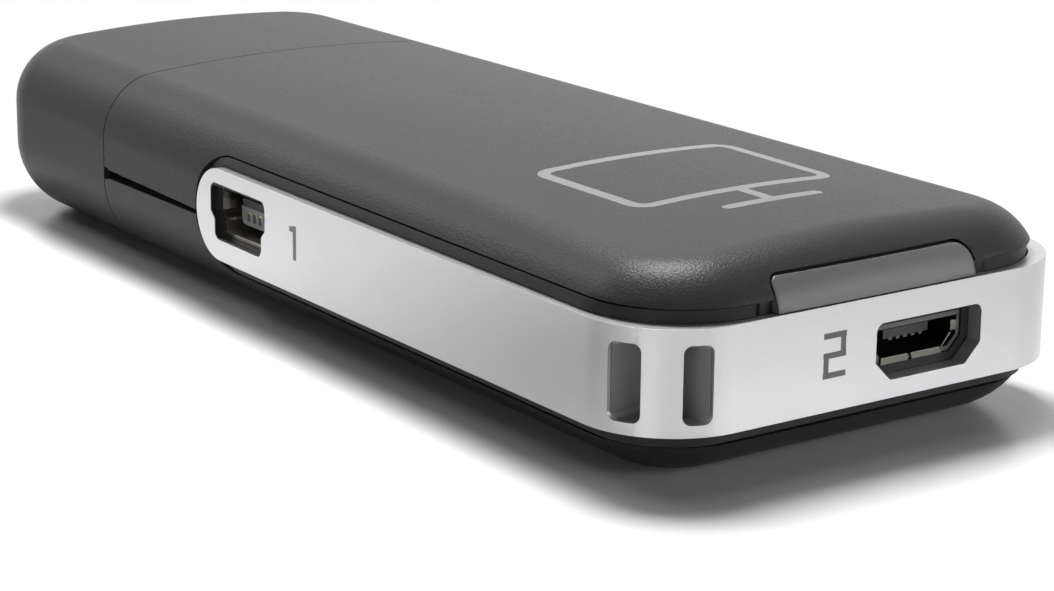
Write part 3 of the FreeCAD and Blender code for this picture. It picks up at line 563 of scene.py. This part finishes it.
@dataclass(frozen=True)
class Moulding:
    """A moulded plastic with a spark-eroded grain."""

    name: str
    colour: Colour
    roughness: float = 0.4
    grain: float = 0.16
    relief: float = 0.012
    specular: float = 0.5
    mark: Print = Print.NONE
    mark_colour: Colour = (0.19, 0.19, 0.195)

    def paint(self) -> bpy.types.Material:
        """Makes the material."""
        paint = Paint(self.name)
        fine = paint.noise(self.grain, 3.0)
        broad = paint.noise(9.0, 2.0)
        darker = tuple(c * 0.8 for c in self.colour)
        lighter = tuple(c * 1.25 for c in self.colour)
        colour = paint.blend(broad * 0.5 + fine * 0.5, darker, lighter)
        if self.mark is not Print.NONE:
            colour = paint.blend(self.mark.mask(paint), colour, self.mark_colour)
        paint.principled(
            Base_Color=colour,
            Roughness=fine * 0.22 + (self.roughness - 0.11),
            Specular_IOR_Level=self.specular,
            Normal=paint.bump(fine, self.relief))
        return paint.material


@dataclass(frozen=True)
class MetallicPaint:
    """Satin silver paint with fine flakes."""

    name: str
    colour: Colour
    flake: float = 0.09
    metal: float = 0.9
    mark: Print = Print.NONE
    mark_colour: Colour = (0.10, 0.10, 0.105)

    def paint(self) -> bpy.types.Material:
        """Makes the material."""
        paint = Paint(self.name)
        flakes = paint.noise(self.flake, 1.0)
        sparse = flakes.ramp((0.42, 0.0), (0.72, 1.0))
        cloud = paint.noise(6.0, 2.0)
        darker = tuple(c * 0.9 for c in self.colour)
        colour = paint.blend(cloud * 0.5 + sparse * 0.5, darker, self.colour)
        metal: Wire | float = self.metal
        if self.mark is not Print.NONE:
            ink = self.mark.mask(paint)
            colour = paint.blend(ink, colour, self.mark_colour)
            metal = (1.0 - ink) * self.metal
        paint.principled(
            Base_Color=colour,
            Metallic=metal,
            Roughness=0.40 - flakes * 0.14,
            Normal=paint.bump(flakes, 0.006),
            Coat_Weight=0.12,
            Coat_Roughness=0.3)
        return paint.material


@dataclass(frozen=True)
class SheetMetal:
    """Plated or rolled sheet with faint drawing lines."""

    name: str
    colour: Colour
    roughness: float = 0.26

    def paint(self) -> bpy.types.Material:
        """Makes the material."""
        paint = Paint(self.name)
        lines = paint.noise(0.12, 2.0, (12, 12, 1))
        stain = paint.noise(1.6, 3.0)
        darker = tuple(c * 0.86 for c in self.colour)
        paint.principled(
            Base_Color=paint.blend(stain, darker, self.colour),
            Metallic=1.0,
            Roughness=lines * 0.16 + (self.roughness - 0.08),
            Normal=paint.bump(lines, 0.004))
        return paint.material


@dataclass(frozen=True)
class Laminate:
    """Solder mask over copper tracks."""

    name: str
    colour: Colour

    def paint(self) -> bpy.types.Material:
        """Makes the material."""
        paint = Paint(self.name)
        tracks = paint.node("ShaderNodeTexVoronoi", {"feature": "DISTANCE_TO_EDGE", "distance": "MANHATTAN"},
                            {"Vector": paint.place, "Scale": 1 / (2.2 * MM)}, "Distance")
        copper = tracks.ramp((0.03, 1.0), (0.06, 0.0))
        lighter = tuple(c * 1.9 for c in self.colour)
        paint.principled(
            Base_Color=paint.blend(copper, self.colour, lighter),
            Roughness=0.32,
            Normal=paint.bump(copper, 0.02),
            Coat_Weight=0.3)
        return paint.material


CHARCOAL_COLOUR = (0.026, 0.026, 0.027)


class Finish(Enum):
    """The finishes of the object, by the record's material slots."""

    CHARCOAL = Moulding("charcoal_plastic", CHARCOAL_COLOUR, 0.38, 0.17, 0.035, 0.13)
    PRINTED_CHARCOAL = Moulding("printed_charcoal", CHARCOAL_COLOUR, 0.38, 0.17, 0.035, 0.13,
                                mark=Print.SCREEN)
    DARK_FRAME = Moulding("frame_plastic", (0.014, 0.014, 0.016), 0.4, 0.2, 0.006, 0.2)
    SMOKE = Moulding("smoky_plastic", (0.105, 0.105, 0.108), 0.36, 0.12, 0.003)
    SILVER = MetallicPaint("silver_paint", (0.58, 0.58, 0.59), mark=Print.NUMBERS)
    LINING = Moulding("lining_grey", (0.22, 0.22, 0.225), 0.42, 0.12, 0.003)
    # Painted shade: nickel darkened to stand for the shade inside the micro-USB port, on its shell and
    # contacts.
    NICKEL_PAINTED_SHADE = SheetMetal("nickel_with_painted_shade", (0.10, 0.10, 0.095), 0.35)
    FLAP = SheetMetal("flap_nickel", (0.15, 0.145, 0.13), 0.34)
    PLATED = SheetMetal("plated_steel", (0.72, 0.69, 0.63), 0.24)
    GOLD = SheetMetal("gold_contact", (0.83, 0.62, 0.28), 0.22)
    INSULATOR = Moulding("black_insulator", (0.016, 0.016, 0.017), 0.5, 0.1, 0.004)
    BOARD = Laminate("circuit_board", (0.008, 0.05, 0.026))
    ZINC = SheetMetal("zinc_screw", (0.6, 0.6, 0.62), 0.3)
    SPREADER = SheetMetal("spreader_alloy", (0.75, 0.76, 0.78), 0.34)
    PAD = Moulding("thermal_rubber", (0.3, 0.36, 0.45), 0.7, 0.3, 0.02)
    CHIP = Moulding("chip_plastic", (0.02, 0.02, 0.022), 0.55, 0.1, 0.006)
    CERAMIC = Moulding("ceramic", (0.4, 0.28, 0.16), 0.5, 0.1, 0.004)
    LENS = Moulding("clear_light", (0.7, 0.74, 0.66), 0.2, 0.2, 0.002)


class Finishes:
    """The materials, each made once."""

    def __init__(self) -> None:
        """Makes every finish."""
        self.made = {finish: finish.value.paint() for finish in Finish}
        self.by_slot = {finish.value.name: finish for finish in Finish}

    def dress(self, piece: bpy.types.Object, finish: Finish) -> None:
        """Gives a piece one finish.

        Args:
            piece: A new piece or a CAD node.
            finish: Its finish.
        """
        piece.data.materials.clear()
        piece.data.materials.append(self.made[finish])


@dataclass(frozen=True)
class BodyForm:
    """The form that the two covers, the cap and the key share, in millimetres."""

    start: float
    end: float
    height: float
    end_width: float = 36.8
    cap_width: float = 32.2
    crown_radius: float = 140.0
    crown_half: float = 10.0
    shoulder: float = 4.5
    under: float = 6.0
    cap_corner: float = 6.5
    end_corner: float = 7.4
    set_back: float = 0.05

    def half_width(self, x: float) -> float:
        """Half the body's width at a place along it."""
        share = (x - self.start) / (self.end - self.start)
        return (self.cap_width + (self.end_width - self.cap_width) * share) / 2

    def sag(self, y: float) -> float:
        """How far the crowned top lies under its ridge, at a distance from the middle."""
        inner = min(abs(y), self.crown_half)
        slope = self.crown_half / self.crown_radius
        return inner * inner / (2 * self.crown_radius) + (abs(y) - inner) * slope

    def top(self, y: float) -> float:
        """Height of the crowned top at a distance from the middle."""
        return self.height - self.sag(y)

    def solid(self) -> Form:
        """The closed outer form."""
        far = self.end - self.set_back
        near_half = self.half_width(self.start)
        far_half = self.half_width(far)
        plan = [Corner(self.start, -near_half, self.cap_corner), Corner(far, -far_half, self.end_corner),
                Corner(far, far_half, self.end_corner), Corner(self.start, near_half, self.cap_corner)]
        form = Form.prism(Plane.PLAN, plan, 0, self.height, 18)
        form.bevel(lambda e: min(v.co.z for v in e.verts) > self.height - 0.01, self.shoulder, 12)
        form.bevel(lambda e: max(v.co.z for v in e.verts) < 0.01, self.under, 14)
        steps = 5
        for i in range(-steps, steps + 1):
            form.slice((0, i * self.crown_half / steps, 0), (0, 1, 0))
        level = self.height - self.shoulder - 0.01
        return form.shift(lambda p: p - Vector((0, 0, self.sag(p.y))) if p.z > level else p)


@dataclass(frozen=True)
class BandForm:
    """The silver band and the openings round it, in millimetres."""

    start: float
    end: float
    low: float
    high: float
    half_width: float
    wall: float = 1.2
    proud: float = 0.15
    corner: float = 6.6
    neck_above: float = 0.95
    neck_below: float = 1.1
    end_gap: float = 0.45
    edge: float = 0.32
    window_low: float = 4.5
    window_high: float = 9.6
    side_reach: float = 4.67
    end_reach: float = 5.2
    post_start: float = -52.5
    post_end: float = -29.5
    window_corner: float = 0.55
    way_corner: float = 3.0

    def half_round(self, start: float, low: float, high: float) -> Form:
        """A solid beyond a half-round end, seen from the side."""
        radius = (high - low) / 2 - 0.001
        corners = [Corner(start, low, radius), Corner(FAR, low), Corner(FAR, high),
                   Corner(start, high, radius)]
        return Form.prism(Plane.SIDE, corners, -FAR, FAR, 16)

    def cover_opening(self) -> Form:
        """The opening in both covers that the band and its neck show through."""
        return self.half_round(self.start - self.end_gap, self.low - self.neck_below,
                               self.high + self.neck_above)


@dataclass
class Stage:
    """Floor, lamps and camera."""

    lens: float = 106.13
    sensor: float = 36.0
    eye: tuple[float, float, float] = (185.358, -129.262, 63.194)
    yaw: float = 2.511658
    pitch: float = -0.272691
    roll: float = 0.011368
    floor_half: float = 900.0
    floor_white: tuple[float, float, float] = (0.93, 0.93, 0.93)
    # Colour of the painted shadow that reflections and bounced light see in the floor.
    painted_shadow_colour: tuple[float, float, float] = (0.02, 0.02, 0.02)
    pool_middle: tuple[float, float, float] = (8.0, -22.0, 0.0)
    pool_reach: tuple[float, float] = (52.0, 82.0)
    # Middle and reach of that painted shadow, in millimetres.
    painted_shadow_middle: tuple[float, float, float] = (22.0, -42.0, 0.0)
    painted_shadow_reach: float = 42.0

    def camera(self) -> None:
        """Sets the camera at the photograph's viewing angle."""
        ahead = Vector((math.cos(self.yaw) * math.cos(self.pitch), math.sin(self.yaw) * math.cos(self.pitch),
                        math.sin(self.pitch)))
        level = Vector((math.sin(self.yaw), -math.cos(self.yaw), 0))
        rise = level.cross(ahead)
        right = level * math.cos(self.roll) + rise * math.sin(self.roll)
        up = rise * math.cos(self.roll) - level * math.sin(self.roll)
        data = bpy.data.cameras.new("camera")
        data.lens = self.lens
        data.sensor_width = self.sensor
        data.clip_start = 0.01
        data.clip_end = 10.0
        eye = bpy.data.objects.new("camera", data)
        turn = Matrix((right, up, -ahead)).transposed().to_4x4()
        eye.matrix_world = Matrix.Translation(Vector(self.eye) * MM) @ turn
        bpy.context.scene.collection.objects.link(eye)
        bpy.context.scene.camera = eye

    def lamp(self, name: str, place: Sequence[float], aim: Sequence[float], size: Sequence[float],
             power: float) -> None:
        """Adds a soft panel lamp.

        Args:
            name: Its name.
            place: Where it hangs, in millimetres.
            aim: What it faces.
            size: Its width and height in millimetres.
            power: Its power in watts.
        """
        data = bpy.data.lights.new(name, "AREA")
        data.shape = "RECTANGLE"
        data.size = size[0] * MM
        data.size_y = size[1] * MM
        data.energy = power
        lamp = bpy.data.objects.new(name, data)
        here = Vector(place) * MM
        lamp.location = here
        lamp.rotation_euler = (Vector(aim) * MM - here).to_track_quat("-Z", "Y").to_euler()
        bpy.context.scene.collection.objects.link(lamp)

    def world(self) -> None:
        """White where the camera, gloss and glass look, and no light of its own."""
        world = bpy.data.worlds.new("studio")
        bpy.context.scene.world = world
        world.use_nodes = True
        tree = world.node_tree
        tree.nodes.clear()
        path = tree.nodes.new("ShaderNodeLightPath")
        sky = tree.nodes.new("ShaderNodeBackground")
        sky.inputs["Color"].default_value = (1, 1, 1, 1)
        seen = path.outputs["Is Camera Ray"]
        for ray in ("Is Glossy Ray", "Is Transmission Ray"):
            either = tree.nodes.new("ShaderNodeMath")
            either.operation = "MAXIMUM"
            tree.links.new(seen, either.inputs[0])
            tree.links.new(path.outputs[ray], either.inputs[1])
            seen = either.outputs[0]
        tree.links.new(seen, sky.inputs["Strength"])
        out = tree.nodes.new("ShaderNodeOutputWorld")
        tree.links.new(sky.outputs[0], out.inputs["Surface"])

    def floor(self) -> None:
        """A pale floor that fades to white round the object.

        Reflections and bounced light see a painted shadow in it, the card: a dark patch which the camera
        doesn't see, painted shade in the floor that the silver band mirrors near the corner.
        """
        form = Form()
        half = self.floor_half
        corners = [(-half, -half, 0), (half, -half, 0), (half, half, 0), (-half, half, 0)]
        form.bm.faces.new([form.bm.verts.new(c) for c in corners])
        floor = form.finish("floor")
        paint = Paint("pale_floor")
        centred = paint.node("ShaderNodeVectorMath", {"operation": "DISTANCE"},
                             {0: paint.place, 1: tuple(c * MM for c in self.pool_middle)}, "Value")
        away = centred.math("SUBTRACT", self.pool_reach[0] * MM).math(
            "DIVIDE", (self.pool_reach[1] - self.pool_reach[0]) * MM, clamp=True)
        seen = paint.node("ShaderNodeLightPath", output="Is Camera Ray")
        # Painted shadow: a dark patch in the floor that only reflections and bounced light see.
        from_painted_shadow = paint.node("ShaderNodeVectorMath", {"operation": "DISTANCE"},
                               {0: paint.place, 1: tuple(c * MM for c in self.painted_shadow_middle)}, "Value")
        card = 1.0 - from_painted_shadow.math("DIVIDE", self.painted_shadow_reach * MM, clamp=True)
        bounce = paint.blend(card, self.floor_white, self.painted_shadow_colour)
        surface = paint.node("ShaderNodeBsdfPrincipled", {}, {
            "Base Color": paint.blend(seen, bounce, self.floor_white), "Roughness": 0.24})
        white = paint.node("ShaderNodeEmission", {}, {"Color": (1, 1, 1, 1), "Strength": 1.0})
        gloss = paint.node("ShaderNodeLightPath", output="Is Glossy Ray")
        mixed = paint.node("ShaderNodeMixShader", {},
                           {0: away * seen.math("MAXIMUM", gloss), 1: surface, 2: white})
        paint.surface(mixed)
        floor.data.materials.append(paint.material)

    def build(self) -> None:
        """Makes the stage."""
        self.camera()
        self.world()
        self.floor()
        self.lamp("top_pool", (-10, 10, 120), (-5, 0, 14), (60, 40), 0.28)
        self.lamp("overhead", (-20, 20, 300), (0, 0, 0), (260, 200), 0.05)
        self.lamp("right_end", (237, 137, 65), (30, 0, 5), (180, 100), 0.170)
        self.lamp("corner_front", (163, -224, 46), (40, -15, 5), (70, 70), 0.060)
        self.lamp("shoulder_streak", (-244, -89, 210), (0, 0, 5), (120, 60), 0.170)
        bpy.context.scene.view_settings.view_transform = "Standard"


class StickComputer:
    """The object: its new pieces and its dressed nodes."""

    def __init__(self, frame: dict, finishes: Finishes) -> None:
        """Reads the driving places from the frame.

        Args:
            frame: What the frame's loading returned.
            finishes: The materials.
        """
        self.frame = frame
        self.finishes = finishes
        cap = self.limits("end_cap")
        band = self.limits("silver_band")
        cover = self.limits("upper_cover")
        self.seam = cap[1].x
        self.cover_start = cover[0].x
        self.body = BodyForm(start=cap[0].x, end=band[1].x, height=round(cover[1].z, 1) + 0.05)
        self.band = BandForm(start=band[0].x, end=band[1].x, low=band[0].z, high=band[1].z,
                             half_width=self.body.half_width(band[1].x) + 0.15)

    @staticmethod
    def limits(node: str) -> tuple[Vector, Vector]:
        """A node's lowest and highest corners in millimetres."""
        low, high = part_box(node)
        return low / MM, high / MM

    def add(self, piece: bpy.types.Object, body: str, slot: str, finish: Finish, *nodes: str) -> None:
        """Puts a finished piece on its body.

        Args:
            piece: The piece.
            body: The body that it moves with.
            slot: The record's material slot; not used.
            finish: Its finish.
            nodes: CAD nodes that it stands for.
        """
        self.finishes.dress(piece, finish)
        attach(piece, body)
        if nodes:
            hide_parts(*nodes)
        LOG.info("%s rides on %s", piece.name, body)

    def cover(self, name: str, side: int) -> None:
        """One of the two covers.

        Args:
            name: Its CAD node.
            side: 1 above the slot, -1 below it.
        """
        parting = 6.6
        at_cap = parting + side * 0.36
        at_band = parting + side * 0.18
        slope = (at_band - at_cap) / (self.band.start - self.cover_start)
        form = self.body.solid()
        form.slice((self.cover_start, 0, 0), (1, 0, 0), True)
        form.slice((self.cover_start, 0, at_cap), (-slope * side, 0, side), True)
        form.thicken(COVER_WALL)
        notch = Form.prism(Plane.SIDE, rounded_box((self.seam - 1, self.cover_start + 0.6), (6.125, 7.075), 0),
                           -FAR, FAR)
        form.carve(Carve.CUT, self.band.cover_opening(), notch)
        if side > 0:
            form.carve(Carve.CUT, self.key_prism(0.2, 38.6, FAR))
        finish = Finish.PRINTED_CHARCOAL if side > 0 else Finish.CHARCOAL
        self.add(form.finish(name + "_shell", COVER_EDGE), "body", "charcoal_plastic", finish, name)

    def key_prism(self, margin: float, start: float, end: float) -> Form:
        """The outline of the function key, drawn out along the body."""
        half = 8.3 + margin
        low = self.band.high + 0.08
        high = low + 2.12 + margin
        if margin:
            low -= 1.0
        corners = [Corner(-half, low), Corner(half, low), Corner(half, high, 1.2 + margin),
                   Corner(-half, high, 0.6 + margin)]
        return Form.prism(Plane.END, corners, start, end, 6)

    def key(self) -> None:
        """The function key's plate, with its arm left out of sight."""
        form = self.body.solid().carve(Carve.KEEP, self.key_prism(0, 43.2, FAR))
        self.add(form.finish("function_key_plate", 0.1), "key", "smoky_plastic", Finish.SMOKE, "function_key")

    def cap(self) -> None:
        """The pull-off cap."""
        form = self.body.solid()
        form.slice((self.seam, 0, 0), (-1, 0, 0), True)
        form.thicken(CAP_WALL)
        self.add(form.finish("end_cap_shell", COVER_EDGE), "cap", "charcoal_plastic", Finish.CHARCOAL,
                 "end_cap")

    def lanyard_window(self, start: float, end: float) -> Form:
        """The solid that one lanyard window takes out of the band's corner."""
        band = self.band
        centre = (band.end - band.corner, band.corner - band.half_width)
        plan = [Corner(*centre)]
        for angle in (start, (start + end) / 2, end):
            turn = math.radians(angle)
            plan.append(Corner(centre[0] + 20 * math.cos(turn), centre[1] + 20 * math.sin(turn)))
        wedge = Form.prism(Plane.PLAN, plan, band.window_low, band.window_high)
        room = Form.prism(Plane.PLAN, rounded_box((band.end - band.side_reach, FAR),
                                                  (-FAR, band.end_reach - band.half_width), 0), 0, FAR)
        wedge.carve(Carve.KEEP, room)
        level = (band.window_low, band.window_high)
        wedge.bevel(lambda e: any(all(abs(v.co.z - z) < 1e-3 for v in e.verts) for z in level)
                    and self.is_window_side(e), band.window_corner, 5)
        return wedge

    def is_window_side(self, edge: bmesh.types.BMEdge) -> bool:
        """Whether an edge runs through the band's wall, at the end of a lanyard window."""
        middle = (edge.verts[0].co + edge.verts[1].co) / 2
        way = (edge.verts[0].co - edge.verts[1].co).normalized()
        out = Vector((middle.x - self.band.end + self.band.corner,
                      middle.y + self.band.half_width - self.band.corner, 0)).normalized()
        return abs(way.dot(out)) > 0.6

    def silver_band(self) -> None:
        """The wrapped band with its openings."""
        band = self.band
        start = band.start - 4
        near_half = self.body.half_width(start) + band.proud
        plan = [Corner(start, -near_half), Corner(band.end, -band.half_width, band.corner),
                Corner(band.end, band.half_width, band.corner), Corner(start, near_half)]
        form = Form.prism(Plane.PLAN, plan, band.low, band.high, 20)
        form.drop_faces(lambda f: abs(f.normal.z) > 0.9 or f.normal.x < -0.9)
        form.thicken(band.wall)
        form.carve(Carve.KEEP, band.half_round(band.start, band.low - 0.001, band.high + 0.001))
        form.carve(Carve.CUT, self.mini_prism(0, -FAR, -10), self.micro_prism(0, 38, FAR), self.card_prism())
        form.carve(Carve.CUT, self.lanyard_window(-100, band.post_start),
                   self.lanyard_window(band.post_end, 10))
        self.add(form.finish("silver_band_wrap", band.edge, 3), "body", "silver_paint", Finish.SILVER,
                 "silver_band")

    def lanyard_way(self, inset: float) -> Form:
        """The curved way behind the post, set in from its walls."""
        band = self.band
        corner = Corner(band.end - band.side_reach + inset, band.end_reach - band.half_width - inset,
                        band.way_corner)
        plan = [Corner(corner.u, -FAR), Corner(FAR, -FAR), Corner(FAR, corner.v), corner]
        return Form.prism(Plane.PLAN, plan, band.window_low + inset, band.window_high - inset, 12)

    def lanyard_lining(self) -> None:
        """The grey lining of the way behind the post, from window to window."""
        band = self.band
        hollow = self.lanyard_way(0.1)
        levels = (band.window_low + 0.1, band.window_high - 0.1)
        hollow.bevel(lambda e: any(all(abs(v.co.z - z) < 1e-3 for v in e.verts) for z in levels)
                     and max(v.co.x for v in e.verts) < FAR - 1 and min(v.co.y for v in e.verts) > 1 - FAR,
                     band.window_corner, 4)
        sleeve = self.lanyard_way(0.01).carve(Carve.CUT, hollow)
        sleeve.carve(Carve.KEEP, self.band_plan(0.22))
        self.add(sleeve.finish("lanyard_lining"), "body", "frame_plastic", Finish.LINING)

    def band_plan(self, inset: float) -> Form:
        """Everything inside the band's outer face, set in from it."""
        band = self.band
        near = self.body.half_width(0.0) + band.proud - inset
        far = band.half_width - inset
        plan = [Corner(0.0, -near), Corner(band.end - inset, -far, band.corner - inset),
                Corner(band.end - inset, far, band.corner - inset), Corner(0.0, near)]
        return Form.prism(Plane.PLAN, plan, 0, self.body.height, 16)

    def neck_ends(self) -> None:
        """The neck's ends, which come close to the key on both sides."""
        for name, side in (("neck_end_right", -1), ("neck_end_left", 1)):
            across = sorted((side * 8.5, side * 9.75))
            form = Form.prism(Plane.END, rounded_box((across[0], across[1]), (10.66, 11.56), 0), 44.7, 45.25)
            self.add(form.finish(name, 0.06), "body", "frame_plastic", Finish.DARK_FRAME)

    def micro_flaps(self) -> None:
        """The turned-out flaps of the micro-USB shell."""
        face = 44.68
        outlines = {
            "micro_usb_flap_low_left": ((1.3, 5.5), (3.72, 5.5), (3.62, 6.0), (1.3, 6.0)),
            "micro_usb_flap_low_right": ((3.98, 5.5), (6.65, 5.5), (6.4, 5.98), (3.88, 5.98)),
            "micro_usb_flap_bevel": ((6.45, 5.84), (6.62, 5.9), (7.42, 6.8), (7.2, 6.8)),
            "micro_usb_flap_side": ((7.3, 6.88), (8.02, 6.88), (8.02, 7.55), (7.3, 7.62))}
        for name, corners in outlines.items():
            form = Form.prism(Plane.END, [Corner(*corner) for corner in corners], face, face + 0.12)
            self.add(form.finish(name, 0.05), "body", "plated_steel", Finish.FLAP)

    def mini_comb(self) -> None:
        """The slotted front of the mini-USB tongue."""
        pitch = 0.8
        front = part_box("mini_usb_tongue")[0].y / MM
        corners = [Corner(-6.6, 6.35, 0.5), Corner(-1.6, 6.35, 0.5), Corner(-1.6, 7.75, 0.08),
                   Corner(-6.6, 7.75, 0.08)]
        plate = Form.prism(Plane.SIDE, corners, front - 0.06, front + 0.6)
        for i in range(5):
            middle = MINI_USB_MIDDLE[0] + (i - 2) * pitch
            slot = rounded_box((middle - 0.2, middle + 0.2), (6.7, 7.4), 0)
            plate.carve(Carve.CUT, Form.prism(Plane.SIDE, slot, front - 1, front + 0.5))
        self.add(plate.finish("mini_usb_comb", 0.04), "body", "black_insulator", Finish.LINING)

    def mini_prism(self, inset: float, low: float, high: float) -> Form:
        """The stepped outline of the mini-USB port."""
        x, z = MINI_USB_MIDDLE
        half = 3.95 - inset
        foot = 3.4 - inset
        top = z + 2.12 - inset
        base = z - 2.12 + inset
        step = z - 0.05
        ledge = step - 0.55
        radius = 0.6 - inset
        small = radius / 2
        corners = [Corner(x - foot, base, radius), Corner(x + foot, base, radius),
                   Corner(x + foot, ledge, small), Corner(x + half, step, small),
                   Corner(x + half, top, radius), Corner(x - half, top, radius),
                   Corner(x - half, step, small), Corner(x - foot, ledge, small)]
        return Form.prism(Plane.SIDE, corners, low, high, 5)

    def micro_prism(self, inset: float, low: float, high: float) -> Form:
        """The bevelled outline of the micro-USB port."""
        y, z = MICRO_USB_MIDDLE
        half = 4.55 - inset
        top = z + 1.95 - inset
        base = z - 1.95 + inset
        bevel = 1.3 - inset * (2 - math.sqrt(2))
        radius = 0.6 - inset
        small = radius / 2
        corners = [Corner(y - half + bevel, base, small), Corner(y + half - bevel, base, small),
                   Corner(y + half, base + bevel, small), Corner(y + half, top, radius),
                   Corner(y - half, top, radius), Corner(y - half, base + bevel, small)]
        return Form.prism(Plane.END, corners, low, high, 5)

    def card_prism(self) -> Form:
        """The slot for the memory card."""
        middle, half = 12.8, 5.8
        outline = rounded_box((middle - half, middle + half), (4.3, 5.6), 0.3)
        return Form.prism(Plane.SIDE, outline, 10, FAR, 4)

    def dress_nodes(self) -> None:
        """Gives every CAD node the finish that its slot names, but the micro-USB shell and contacts a nickel
        darkened as painted shade.
        """
        slots = {part["node"]: part["material_slot"] for part in self.frame["record"]["subparts"]}
        # The micro-USB shell and contacts get nickel darkened as painted shade inside the port.
        special = {"micro_usb_shell": Finish.NICKEL_PAINTED_SHADE, "micro_usb_contacts": Finish.NICKEL_PAINTED_SHADE}
        for name, node in self.frame["nodes"].items():
            self.finishes.dress(node, special.get(name, self.finishes.by_slot[slots[name]]))
            LOG.info("node %s is dressed", name)

    def build(self) -> None:
        """Makes and dresses every piece."""
        self.dress_nodes()
        self.cover("upper_cover", 1)
        self.cover("lower_cover", -1)
        self.cap()
        self.silver_band()
        self.key()
        self.lanyard_lining()
        self.neck_ends()
        self.micro_flaps()
        self.mini_comb()


def main() -> None:
    """Builds the scene."""
    logging.basicConfig(level=logging.INFO)
    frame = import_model()
    Stage().build()
    StickComputer(frame, Finishes()).build()
    bpy.context.view_layer.update()


if __name__ == "__main__":
    main()
